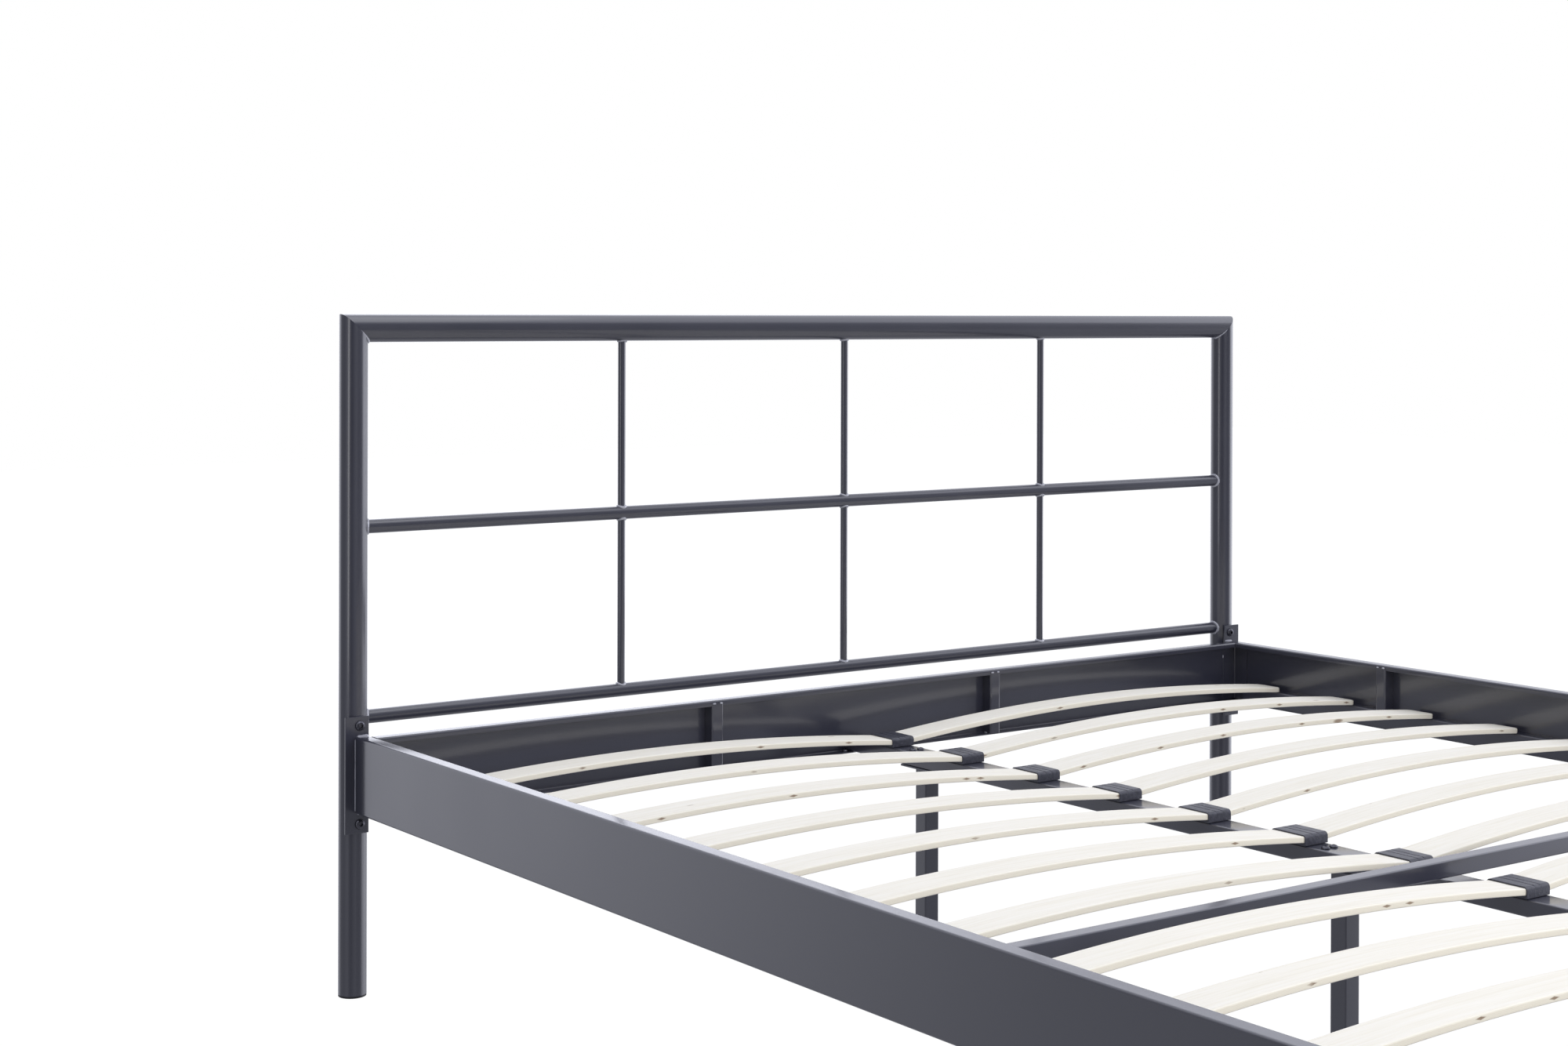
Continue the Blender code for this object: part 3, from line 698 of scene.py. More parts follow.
def thin_rail(name):
    bm = bmesh.new()
    low, high = round_tube(bm, thin_radius, THIN_WALL, -post_x, post_x, segments=48)
    for verts, sign in ((low, -1), (high, 1)):
        for vert in verts:
            vert.co.z = sign * (post_x - tube_reach(post_radius, vert.co.x) + WELD_DEPTH)
    lay(bm, bm.verts, "X", (0, post_y, middle_of(name).z))
    make_piece("tube_" + name, bm, slate_powder_coat, [name])


def bar(name):
    bm = bmesh.new()
    low = middle_of("headboard_bottom_rail").z + thin_radius - WELD_DEPTH
    high = top_rail_z - post_radius + WELD_DEPTH
    verts = bmesh.ops.create_cone(
        bm, cap_ends=True, segments=32, radius1=bar_radius, radius2=bar_radius, depth=high - low
    )["verts"]
    for vert in verts:
        if vert.co.z < 0:
            vert.co.z += tube_reach(thin_radius, vert.co.y) - thin_radius
        else:
            vert.co.z += post_radius - tube_reach(post_radius, vert.co.y)
    move(bm, verts, (middle_of(name).x, post_y, (low + high) / 2))
    make_piece("rod_" + name, bm, slate_powder_coat, [name])


for name in thin_names:
    thin_rail(name)
for name in bar_names:
    bar(name)
print("thin rail radius in mm:", round(thin_radius * 1000, 2), "bar radius:", round(bar_radius * 1000, 2))

# %% [markdown]
# ## The headboard's welds
#
# Each ring sits where two surfaces meet, so it rises and falls as it goes round. At the mitres the outer
# corner was ground flush and the inner one was left full, because no one sees or touches it there.

# %% Weld the headboard
MITRE_BEAD = 3.0 * MM
THIN_BEAD = 2.3 * MM
BAR_BEAD = 2.1 * MM


def mitre_weld(bm, sign):
    def follow(x, y):
        return sign * x

    def size(x, y):
        inner = -sign * x / post_radius
        return 0.35 + 0.6 * inner + 0.35 * inner**2

    core = post_radius - 0.45 * MITRE_BEAD
    bead_ring(bm, core, MITRE_BEAD, "Z", (sign * post_x, post_y, top_rail_z), follow, size, steps=72)


def rail_weld(bm, name, sign):
    def follow(x, y):
        return -sign * tube_reach(post_radius, x)

    bead_ring(bm, thin_radius, THIN_BEAD, "X", (sign * post_x, post_y, middle_of(name).z), follow)


def bar_weld(bm, x, rail_z, radius, sign):
    def follow(_, y):
        return sign * tube_reach(radius, y)

    bead_ring(bm, bar_radius, BAR_BEAD, "Z", (x, post_y, rail_z), follow, steps=32)


bm = bmesh.new()
for side, sign in SIDES:
    mitre_weld(bm, sign)
    for name in thin_names:
        rail_weld(bm, name, sign)
for name in bar_names:
    x = middle_of(name).x
    bar_weld(bm, x, middle_of("headboard_bottom_rail").z, thin_radius, 1)
    bar_weld(bm, x, middle_of("headboard_middle_rail").z, thin_radius, 1)
    bar_weld(bm, x, middle_of("headboard_middle_rail").z, thin_radius, -1)
    bar_weld(bm, x, top_rail_z, post_radius, -1)
# The headboard beads take the weld coat, whose pale colour is a painted highlight.
welds = make_piece("welds_headboard", bm, weld_coat_painted_highlight, flats=False)
print("headboard weld faces:", len(welds.data.polygons))

# %% [markdown]
# ## Side rails
#
# A side rail is 2 mm sheet folded into a channel that opens inwards. Its top flange ends in a short lip.
# Three folded ribs stiffen it, and a ledge welded inside carries the slats. A 3 mm plate on each end
# bolts it to a post. The outline is drawn once, for the right side, and turned over for the left.

# %% Make the side rails
channel = (
    (0, 0),
    (FLANGE, 0),
    (FLANGE, SHEET),
    (SHEET, SHEET),
    (SHEET, rail_height - SHEET),
    (FLANGE - SHEET, rail_height - SHEET),
    (FLANGE - SHEET, rail_height - LIP),
    (FLANGE, rail_height - LIP),
    (FLANGE, rail_height),
    (0, rail_height),
)
CHANNEL_OUTER_BENDS = (0, 8, 9)
CHANNEL_INNER_BENDS = (3, 4, 5)

LEDGE_HEIGHT = 29 * MM
LEDGE_DEPTH = 19 * MM
ledge = (
    (SHEET - WELD_DEPTH, LEDGE_HEIGHT - SHEET),
    (LEDGE_DEPTH - SHEET, LEDGE_HEIGHT - SHEET),
    (LEDGE_DEPTH - SHEET, SHEET - WELD_DEPTH),
    (LEDGE_DEPTH, SHEET - WELD_DEPTH),
    (LEDGE_DEPTH, LEDGE_HEIGHT),
    (SHEET - WELD_DEPTH, LEDGE_HEIGHT),
)

RIB_WIDTH = 20 * MM
RIB_DEPTH = 21.5 * MM
RIB_TOP_MARGIN = 4 * MM
RIB_WELD = SHEET - WELD_DEPTH
rib_half = RIB_WIDTH / 2
rib = (
    (-rib_half, RIB_WELD),
    (-rib_half + SHEET, RIB_WELD),
    (-rib_half + SHEET, RIB_DEPTH - SHEET),
    (rib_half - SHEET, RIB_DEPTH - SHEET),
    (rib_half - SHEET, RIB_WELD),
    (rib_half, RIB_WELD),
    (rib_half, RIB_DEPTH),
    (-rib_half, RIB_DEPTH),
)
RIB_OUTER_BENDS = (6, 7)
RIB_INNER_BENDS = (2, 3)

SIDE_RIBS = (-659 * MM, 0.0, 659 * MM)
LEDGE_END_Y = 968.5 * MM
PLATE_WIDTH = 34 * MM
PLATE_THICKNESS = 3 * MM
PLATE_EASE = 0.8 * MM


def flip_x(bm, verts, sign):
    """Turn verts over, so that an outline drawn from the rail's outer face inwards suits either side."""
    bmesh.ops.scale(bm, vec=(-sign, 1, 1), verts=verts)


def side_rail(side, sign):
    name = "side_rail_" + side
    low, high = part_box(name)
    bm = bmesh.new()
    plate_y = high.y - PLATE_THICKNESS
    strip = folded_strip(bm, channel, CHANNEL_OUTER_BENDS, CHANNEL_INNER_BENDS, BEND, 2 * plate_y)
    shelf = folded_strip(bm, ledge, (4,), (1,), BEND, 2 * LEDGE_END_Y)
    for verts, start in ((strip, -plate_y), (shelf, -LEDGE_END_Y)):
        flip_x(bm, verts, sign)
        lay(bm, verts, "Y", (sign * side_rail_x, start, rail_bottom))
    rib_low = rail_bottom + LEDGE_HEIGHT - EASED
    turn = Matrix(((0, -sign, 0), (1, 0, 0), (0, 0, 1))).to_4x4()
    for middle in SIDE_RIBS:
        run = rail_top - RIB_TOP_MARGIN - rib_low
        verts = folded_strip(bm, rib, RIB_OUTER_BENDS, RIB_INNER_BENDS, BEND, run)
        bmesh.ops.transform(bm, matrix=turn, verts=verts)
        move(bm, verts, (sign * side_rail_x, middle, rib_low))
    plate_x = sorted((sign * plate_high.x, sign * (plate_high.x - PLATE_WIDTH)))
    for end in (-1, 1):
        y = sorted((end * plate_y, end * high.y))
        soft_box(bm, (plate_x[0], y[0], low.z), (plate_x[1], y[1], high.z), PLATE_EASE)
    make_piece("folded_" + name, bm, slate_powder_coat, [name])


for side, sign in SIDES:
    side_rail(side, sign)
print("rail section points:", len(channel), "rib section points:", len(rib))

# %% [markdown]
# ## Head and foot rails
#
# The two end rails share the section of the side rails. They have two ribs each, and an upright angle at
# each end that lies against the side rail.

# %% Make the end rails
END_RIBS = (-265 * MM, 265 * MM)
CORNER_LEG = 30 * MM
CORNER_MARGIN = 2 * MM
angle = (
    (0, 0),
    (0, CORNER_LEG),
    (SHEET, CORNER_LEG),
    (SHEET, SHEET),
    (CORNER_LEG, SHEET),
    (CORNER_LEG, 0),
)


def end_rail(name, end):
    bm = bmesh.new()
    strip = folded_strip(bm, channel, CHANNEL_OUTER_BENDS, CHANNEL_INNER_BENDS, BEND, 2 * end_rail_reach)
    flip_x(bm, strip, end)
    lay(bm, strip, "X", (-end_rail_reach, end * end_rail_y, rail_bottom))
    turn = Matrix(((1, 0, 0), (0, -end, 0), (0, 0, 1))).to_4x4()
    rib_low = rail_bottom + SHEET - EASED
    for middle in END_RIBS:
        run = rail_top - RIB_TOP_MARGIN - rib_low
        verts = folded_strip(bm, rib, RIB_OUTER_BENDS, RIB_INNER_BENDS, BEND, run)
        bmesh.ops.transform(bm, matrix=turn, verts=verts)
        move(bm, verts, (middle, end * end_rail_y, rib_low))
    corner_low = rail_bottom + SHEET + CORNER_MARGIN
    corner_high = rail_top - LIP - CORNER_MARGIN
    for sign in (-1, 1):
        verts = folded_strip(bm, angle, (0,), (3,), BEND, corner_high - corner_low)
        bmesh.ops.scale(bm, vec=(-sign, -end, 1), verts=verts)
        corner_x = sign * (side_rail_x - SHEET - GAP)
        corner_y = end * (end_rail_y - SHEET + WELD_DEPTH)
        move(bm, verts, (corner_x, corner_y, corner_low))
    make_piece("folded_" + name, bm, slate_powder_coat, [name])


end_rail("head_rail", 1)
end_rail("foot_rail", -1)
print("end rail inner face at y", round(end_rail_y - SHEET, 4))

# %% [markdown]
# ## Welds on the rails
#
# A bead runs down the outside of each side rail where it meets its plate, and one more crosses each
# flange. Short tacks hold the ribs to the lip and the bottom flange, and the corner angles to the end
# rails.

# %% Weld the rails
PLATE_BEAD = 2.2 * MM
TACK = 1.3 * MM
TACK_LENGTH = 7 * MM
TACK_DEPTH = 0.4 * MM  # how far a tack's core lies inside the sheet
BEAD_INSET = 3 * MM
RIB_TACKS = ((-9 * MM, -2.5 * MM), (3 * MM, 9 * MM))  # along the rail, from the rib's middle
RIB_FOOT_TACK = 4 * MM  # from the rail's web
CORNER_TACKS = (rail_bottom + 22 * MM, rail_top - 28 * MM)


def plate_welds(bm, sign, end):
    y = end * (plate_high.y - PLATE_THICKNESS)
    outer = sign * side_rail_x
    inner = sign * (side_rail_x - FLANGE)
    bead_line(bm, (outer, y, rail_bottom + BEAD_INSET), (outer, y, rail_top - BEAD_INSET), TACK / 2)
    for z in (rail_top, rail_bottom):
        bead_line(bm, (outer - sign * SHEET, y, z), (inner, y, z), PLATE_BEAD)


def rib_tacks(bm, place, across, inward):
    """Two tacks at the top of a rib, and one at its foot. across runs along the rail, inward from its web."""
    face = place + inward * (RIB_DEPTH - TACK_DEPTH)
    top = Vector((0, 0, rail_top - RIB_TOP_MARGIN - TACK_DEPTH / 2))
    for start, end in RIB_TACKS:
        bead_line(bm, face + top + across * start, face + top + across * end, TACK)
    foot = Vector((0, 0, rail_bottom + SHEET))
    side = place + inward * (SHEET + RIB_FOOT_TACK) - across * rib_half
    bead_line(bm, side + foot, side + foot + inward * TACK_LENGTH, TACK)


bm = bmesh.new()
for side, sign in SIDES:
    for end in (-1, 1):
        plate_welds(bm, sign, end)
        corner_x = sign * (side_rail_x - SHEET - CORNER_LEG)
        web_y = end * (end_rail_y - SHEET)
        for z in CORNER_TACKS:
            bead_line(bm, (corner_x, web_y, z), (corner_x, web_y, z + TACK_LENGTH), TACK)
    for middle in SIDE_RIBS:
        rib_tacks(bm, Vector((sign * side_rail_x, middle, 0)), Vector((0, 1, 0)), Vector((-sign, 0, 0)))
for end in (-1, 1):
    for middle in END_RIBS:
        rib_tacks(bm, Vector((middle, end * end_rail_y, 0)), Vector((1, 0, 0)), Vector((0, -end, 0)))
# The rail beads take the weld coat, whose pale colour is a painted highlight.
welds = make_piece("welds_rails", bm, weld_coat_painted_highlight, flats=False)
print("rail weld faces:", len(welds.data.polygons))

# %% [markdown]
# ## Button-head bolts
#
# M8 button-head bolts hold the rails to the posts. A bolt is turned on a lathe, so it is an outline spun
# round its axis. The key's socket has six sides: the ring of vertices there is drawn in to a hexagon.

# %% Make the bolts
BOLT_STEPS = 48
BOLT_RADIUS = 6.9 * MM
BOLT_HEIGHT = 4.2 * MM
BOLT_RIM = 0.8 * MM
SHANK_RADIUS = 4.0 * MM
SHANK_LENGTH = 21 * MM
KEY_RADIUS = 2.5 * MM
KEY_DEPTH = 2.5 * MM
CHAMFER = 0.2 * MM
CROWN_STEPS = 7
CROWN_END = 1.35  # the crown ends at this many key radii


def button_outline(radius, height, rim, shank, length, key, depth):
    """(distance from the axis, height) from the shank's end, over the crown, into the socket."""
    points = [(0, -length), (shank, -length), (shank, 0)]
    points += [(radius - CHAMFER, 0), (radius, CHAMFER), (radius, rim)]
    crown = height - rim
    steepest = math.acos(CROWN_END * key / radius)
    for step in range(1, CROWN_STEPS + 1):
        turn = steepest * step / CROWN_STEPS
        points.append((radius * math.cos(turn), rim + crown * math.sin(turn) / math.sin(steepest)))
    points += [(key, height), (key, height - depth), (0, height - depth - CHAMFER)]
    return points


def button_head(bm, outline, key, axis_sign, place):
    """Turn the outline, give the socket six sides, then point the head along +Y or -Y, or up for 0."""
    before = set(bm.verts)
    verts = [bm.verts.new((across, 0, high)) for across, high in outline]
    edges = [bm.edges.new(pair) for pair in zip(verts, verts[1:])]
    turn_round(bm, verts + edges, BOLT_STEPS)
    made = [vert for vert in bm.verts if vert not in before]
    sixth = math.radians(60)
    for vert in made:
        out = math.hypot(vert.co.x, vert.co.y)
        if vert.co.z > 0 and abs(out - key) < TOLERANCE:
            turn = (math.atan2(vert.co.y, vert.co.x) % sixth) - sixth / 2
            longer = 1 / math.cos(turn)
            vert.co.x *= longer
            vert.co.y *= longer
    if axis_sign:
        turn = Matrix.Rotation(math.radians(-90 * axis_sign), 4, "X")
        bmesh.ops.transform(bm, matrix=turn, verts=made)
    move(bm, made, place)


def post_bolt(name, place, axis_sign, replaced):
    bm = bmesh.new()
    head = (BOLT_RADIUS, BOLT_HEIGHT, BOLT_RIM)
    outline = button_outline(*head, SHANK_RADIUS, SHANK_LENGTH, KEY_RADIUS, KEY_DEPTH)
    button_head(bm, outline, KEY_RADIUS, axis_sign, place)
    make_piece(name, bm, black_zinc, replaced, flats=False)


seat_y = plate_high.y - PLATE_THICKNESS
for side, sign in SIDES:
    for level in ("lower", "upper"):
        node = "headboard_bolt_" + side + "_" + level
        height = middle_of(node).z
        post_bolt("button_" + node, (sign * post_x, seat_y, height), -1, [node])
        post_bolt("button_foot_bolt_" + side + "_" + level, (sign * post_x, -seat_y, height), 1, [])
print("bolt heads stand", BOLT_HEIGHT * 1000, "mm off their plates")

# %% [markdown]
# ## Beam, crossbar and legs
#
# The centre beam is flat rectangular tube between the end rails. The crossbar is square tube that lies on
# the two ledges. Three square legs stand under the beam, each on a welded plate that is screwed up into
# it.

# %% Make the beam, the crossbar and the legs
BEAM_CORNER = 2.0 * MM
LEG_HALF = 12.5 * MM
LEG_BEAD_SHARE = 0.8  # how much of a leg's side is welded to its plate
LEG_PLATE_THICKNESS = 3 * MM


def tube_between(name, axis, corner):
    low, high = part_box(name)
    run = "XYZ".index(axis)
    middle = (low + high) / 2
    size = high - low
    # In its own frame a tube runs along Z, and its width and depth lie along X and Y.
    width, depth = {"X": (size.y, size.z), "Y": (size.x, size.z), "Z": (size.x, size.y)}[axis]
    middle[run] = 0
    bm = bmesh.new()
    square_tube(bm, width, depth, TUBE_WALL, corner, low[run], high[run], axis, middle)
    make_piece("tube_" + name, bm, slate_powder_coat, [name])


def centre_leg(name):
    low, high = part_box(name)
    middle = (low + high) / 2
    plate_z = high.z - LEG_PLATE_THICKNESS
    bm = bmesh.new()
    place = (0, middle.y, 0)
    square_tube(bm, 2 * LEG_HALF, 2 * LEG_HALF, TUBE_WALL, BEAM_CORNER, PLUG_FLANGE, plate_z, "Z", place)
    soft_box(bm, (low.x, low.y, plate_z), high, PLATE_EASE)
    corners = [(-LEG_HALF, -LEG_HALF), (LEG_HALF, -LEG_HALF), (LEG_HALF, LEG_HALF), (-LEG_HALF, LEG_HALF)]
    for (x0, y0), (x1, y1) in zip(corners, corners[1:] + corners[:1]):
        start = (LEG_BEAD_SHARE * x0, middle.y + LEG_BEAD_SHARE * y0, plate_z)
        end = (LEG_BEAD_SHARE * x1, middle.y + LEG_BEAD_SHARE * y1, plate_z)
        out = Vector((x0 + x1, y0 + y1, 0)).normalized() * (1 - LEG_BEAD_SHARE) * LEG_HALF
        bead_line(bm, Vector(start) + out, Vector(end) + out, TACK)
    make_piece("tube_" + name, bm, slate_powder_coat, [name])


tube_between("centre_beam", "Y", BEAM_CORNER)
tube_between("cross_bar", "X", BEAM_CORNER)
leg_names = ["centre_leg_head", "centre_leg_middle", "centre_leg_foot"]
for name in leg_names:
    centre_leg(name)

# %% [markdown]
# ## Foot legs and plastic plugs
#
# The foot end has two short posts of the same tube. Polyethylene plugs close every open tube end that can
# be seen, and keep the steel off the floor. A round plug is a turned shape: a flange with an eased rim,
# and a stem that grips inside the tube.

# %% Make the foot legs and the plugs
STEM_LENGTH = 22 * MM
RIM_EASE = 0.8 * MM
TOP_PLUG = 3 * MM
PLUG_STEPS = 48
PLUG_INSET = 0.2 * MM  # how much narrower the flange is than its tube, on the radius
PLUG_PLAY = 0.1 * MM  # between the stem and the tube's wall
PLUG_HALF = 12.3 * MM
PLUG_STEM_HALF = 10.8 * MM


def foot_leg(name):
    low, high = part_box(name)
    middle = (low + high) / 2
    bm = bmesh.new()
    round_tube(bm, post_radius, TUBE_WALL, PLUG_FLANGE, high.z - TOP_PLUG)
    move(bm, bm.verts, (middle.x, middle.y, 0))
    make_piece("tube_" + name, bm, slate_powder_coat, [name])


def round_plug(name, x, y, start, flange, upward):
    """A plug whose flange starts at a height; upward is 1 if its stem points up and -1 if it points down."""
    rim = post_radius - PLUG_INSET
    stem = post_radius - TUBE_WALL - PLUG_PLAY
    outline = [(0, 0), (rim - RIM_EASE, 0), (rim - 0.3 * RIM_EASE, 0.3 * RIM_EASE), (rim, RIM_EASE)]
    outline += [(rim, flange), (stem, flange), (stem, flange + STEM_LENGTH), (0, flange + STEM_LENGTH)]
    bm = bmesh.new()
    verts = [bm.verts.new((across, 0, start + upward * high)) for across, high in outline]
    edges = [bm.edges.new(pair) for pair in zip(verts, verts[1:])]
    turn_round(bm, verts + edges, PLUG_STEPS)
    move(bm, bm.verts, (x, y, 0))
    make_piece(name, bm, black_polyethylene)


def square_plug(name, x, y):
    bm = bmesh.new()
    for half, start, end in ((PLUG_HALF, 0, PLUG_FLANGE), (PLUG_STEM_HALF, PLUG_FLANGE / 2, STEM_LENGTH)):
        soft_box(bm, (x - half, y - half, start), (x + half, y + half, end), RIM_EASE)
    make_piece(name, bm, black_polyethylene)


for side, sign in SIDES:
    leg = "foot_leg_" + side
    foot_leg(leg)
    foot_y = middle_of(leg).y
    round_plug("plug_headboard_post_" + side, sign * post_x, post_y, 0, PLUG_FLANGE, 1)
    round_plug("plug_" + leg, sign * post_x, foot_y, 0, PLUG_FLANGE, 1)
    round_plug("cap_" + leg, sign * post_x, foot_y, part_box(leg)[1].z, TOP_PLUG, -1)
for name in leg_names:
    square_plug("plug_" + name, 0, middle_of(name).y)
print("pieces so far:", len(made_pieces))

# %% [markdown]
# ## Screws on the beam
#
# Two pan-head screws per leg come up through the beam beside each plate, and one more holds each end of
# the beam to the bottom flange of its rail.

# %% Make the small screws
SCREW_RADIUS = 5.5 * MM
SCREW_HEIGHT = 3.2 * MM
SCREW_KEY = 1.8 * MM
SCREW_KEY_DEPTH = 1.2 * MM
SCREW_RIM = 0.4 * MM
SCREW_SHANK = (2 * MM, 3 * MM)  # radius and length
SCREW_PAIR = 7 * MM
SCREW_FROM_LEG = 25 * MM
END_SCREW_X = 25 * MM
END_SCREW_INSET = 11 * MM

beam_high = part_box("centre_beam")[1]
screw_head = (SCREW_RADIUS, SCREW_HEIGHT, SCREW_RIM)
screw_outline = button_outline(*screw_head, *SCREW_SHANK, SCREW_KEY, SCREW_KEY_DEPTH)
bm = bmesh.new()
for name in leg_names:
    y = middle_of(name).y + SCREW_FROM_LEG
    for x in (-SCREW_PAIR, SCREW_PAIR):
        button_head(bm, screw_outline, SCREW_KEY, 0, (x, y, beam_high.z))
for end in (-1, 1):
    for x in (-END_SCREW_X, END_SCREW_X):
        place = (x, end * (end_rail_y - END_SCREW_INSET), rail_bottom + SHEET)
        button_head(bm, screw_outline, SCREW_KEY, 0, place)
screws = make_piece("screws_beam", bm, black_zinc, flats=False)
print("screw faces:", len(screws.data.polygons))

# %% [markdown]
# ## Sprung slats
#
# A slat starts as a flat block. Its corners are rounded in plan, its long edges are eased, and cuts
# across it let it bend. Each vertex is then lifted on a shallow arch, which is how a slat comes out of
# its press. Its height in the flat block is stored first, so that the ply lines follow the bend.

# %% Make the slats
SLAT_WIDTH = 53 * MM
SLAT_THICKNESS = 8 * MM
SLAT_BOW = 21 * MM
SLAT_CORNER = 10 * MM
SLAT_EDGE = 1.8 * MM
SLAT_CUTS = 28
slat_low, slat_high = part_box("slat_right_01")
slat_inner_z = slat_low.z
slat_outer_z = rail_bottom + LEDGE_HEIGHT + GAP


def bow_height(x):
    """The underside of a slat at a distance x from the middle of the bed."""
    share = (x - slat_low.x) / (slat_high.x - slat_low.x)
    return slat_inner_z + (slat_outer_z - slat_inner_z) * share + 4 * SLAT_BOW * share * (1 - share)


def slat(name, row_y, sign):
    bm = bmesh.new()
    block = bmesh.ops.create_cube(bm, size=1.0)["verts"]
    bmesh.ops.scale(bm, vec=(slat_high.x - slat_low.x, SLAT_WIDTH, SLAT_THICKNESS), verts=block)
    move(bm, block, ((slat_high.x + slat_low.x) / 2, 0, SLAT_THICKNESS / 2))
    upright = [edge for edge in bm.edges if abs(edge.verts[0].co.z - edge.verts[1].co.z) > SLAT_THICKNESS / 2]
    bmesh.ops.bevel(
        bm, geom=upright, offset=SLAT_CORNER, segments=6, profile=0.5, affect="EDGES", material=-1
    )
    rims = [edge for edge in bm.edges if abs(edge.verts[0].co.z - edge.verts[1].co.z) < SLAT_THICKNESS / 2]
    bmesh.ops.bevel(bm, geom=rims, offset=SLAT_EDGE, segments=3, profile=0.5, affect="EDGES", material=-1)
    for cut in range(1, SLAT_CUTS):
        x = slat_low.x + SLAT_CORNER + (slat_high.x - slat_low.x - 2 * SLAT_CORNER) * cut / SLAT_CUTS
        whole = list(bm.verts) + list(bm.edges) + list(bm.faces)
        bmesh.ops.bisect_plane(bm, geom=whole, plane_co=(x, 0, 0), plane_no=(1, 0, 0))
    ply_height = bm.verts.layers.float.new("ply_height")
    edge_share = bm.verts.layers.float.new("edge_share")
    for vert in bm.verts:
        vert[ply_height] = vert.co.z
        vert[edge_share] = min(1.0, min(vert.co.z, SLAT_THICKNESS - vert.co.z) / SLAT_EDGE)
        vert.co.z += bow_height(vert.co.x)
        vert.co.x *= sign
        vert.co.y += row_y
    make_piece("bent_" + name, bm, birch, [name])


rows = [str(row).zfill(2) for row in range(1, 13)]
for row in rows:
    for side, sign in SIDES:
        node = "slat_" + side + "_" + row
        slat(node, middle_of(node).y, sign)
print("slats:", 2 * len(rows), "each of", len(made_pieces[-1].data.polygons), "faces")

# %% [markdown]
# ## Slat caps
#
# One moulded cap per row sits on the beam and takes the ends of two slats. Its top is rounded along both
# sides and has two grooves near the middle. Each end has a pocket with a thin wall, and the pocket dips a
# little towards the middle because the slat does. A peg under the cap plugs into the beam.

# %% Make the caps
CAP_WALL = 1.5 * MM
CAP_ROUND = 5 * MM
CAP_FOOT_ROUND = 1.2 * MM
GROOVE_PLACE = 5.2 * MM
GROOVE_HALF = 1.0 * MM
GROOVE_DEPTH = 0.9 * MM
POCKET_DEPTH = 18.4 * MM
POCKET_DIP = 1.9 * MM
CAP_EASE = 0.35 * MM
PEG_RADIUS = 4 * MM
PEG_LENGTH = 7 * MM


def cap(name):
    low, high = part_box(name)
    low.z = beam_high.z + GAP
    middle = (low + high) / 2
    bm = bmesh.new()
    block = bmesh.ops.create_cube(bm, size=1.0)["verts"]
    bmesh.ops.scale(bm, vec=high - low, verts=block)
    for face_z, size, steps in ((1, CAP_ROUND, 6), (-1, CAP_FOOT_ROUND, 2)):
        edges = [
            edge
            for edge in bm.edges
            if abs(edge.verts[0].co.x - edge.verts[1].co.x) > 20 * MM and edge.verts[0].co.z * face_z > 0
        ]
        bmesh.ops.bevel(bm, geom=edges, offset=size, segments=steps, profile=0.5, affect="EDGES", material=-1)
    for end in (-1, 1):
        mouth = max(bm.faces, key=lambda face: face.calc_center_median().x * end)
        bmesh.ops.inset_region(bm, faces=[mouth], thickness=CAP_WALL, use_even_offset=True)
        for vert in mouth.verts:
            if vert.co.z < 0:
                vert.co.z += POCKET_DIP
        inner = verts_of(bmesh.ops.extrude_face_region(bm, geom=[mouth])["geom"])
        bmesh.ops.delete(bm, geom=[mouth], context="FACES_ONLY")
        move(bm, inner, (-end * POCKET_DEPTH, 0, -POCKET_DIP))
    half = (high.x - low.x) / 2
    ends = [
        edge
        for edge in bm.edges
        if all(abs(abs(vert.co.x) - half) < TOLERANCE for vert in edge.verts) and edge.calc_face_angle(0) > 1
    ]
    bmesh.ops.bevel(bm, geom=ends, offset=CAP_EASE, segments=2, profile=0.5, affect="EDGES", material=-1)
    for place in (-GROOVE_PLACE, GROOVE_PLACE):
        for step in (-GROOVE_HALF, -0.5 * GROOVE_HALF, 0.0, 0.5 * GROOVE_HALF, GROOVE_HALF):
            whole = list(bm.verts) + list(bm.edges) + list(bm.faces)
            bmesh.ops.bisect_plane(bm, geom=whole, plane_co=(place + step, 0, 0), plane_no=(1, 0, 0))
    top = (high.z - low.z) / 2
    side = (high.y - low.y) / 2
    for vert in bm.verts:
        from_groove = abs(abs(vert.co.x) - GROOVE_PLACE) / GROOVE_HALF
        near_top = vert.co.z > top - CAP_ROUND - TOLERANCE
        outside = vert.co.z > top - CAP_WALL / 2 or abs(vert.co.y) > side - CAP_WALL / 2
        if from_groove < 0.9 and near_top and outside:
            share = 1 - from_groove**2
            vert.co.z -= GROOVE_DEPTH * share
    peg_run = PEG_LENGTH + CAP_WALL / 2
    verts = bmesh.ops.create_cone(
        bm, cap_ends=True, segments=24, radius1=PEG_RADIUS, radius2=PEG_RADIUS, depth=peg_run
    )["verts"]
    move(bm, verts, (0, 0, -top - (PEG_LENGTH - CAP_WALL / 2) / 2))
    move(bm, bm.verts, middle)
    make_piece("moulded_" + name, bm, charcoal_polypropylene, [name], sharp=40)


for row in rows:
    cap("slat_cap_" + row)
print("caps:", len(rows), "each of", len(made_pieces[-1].data.polygons), "faces")

# %% [markdown]
# ## Floor
#
# The object stands on a plain white floor that is so evenly lit that it shows no shade. The floor is a
# bright sheet that only the camera sees. What it would send back to the frame comes from the room's light
# below.

# %% Make the floor
FLOOR_HALF = 12


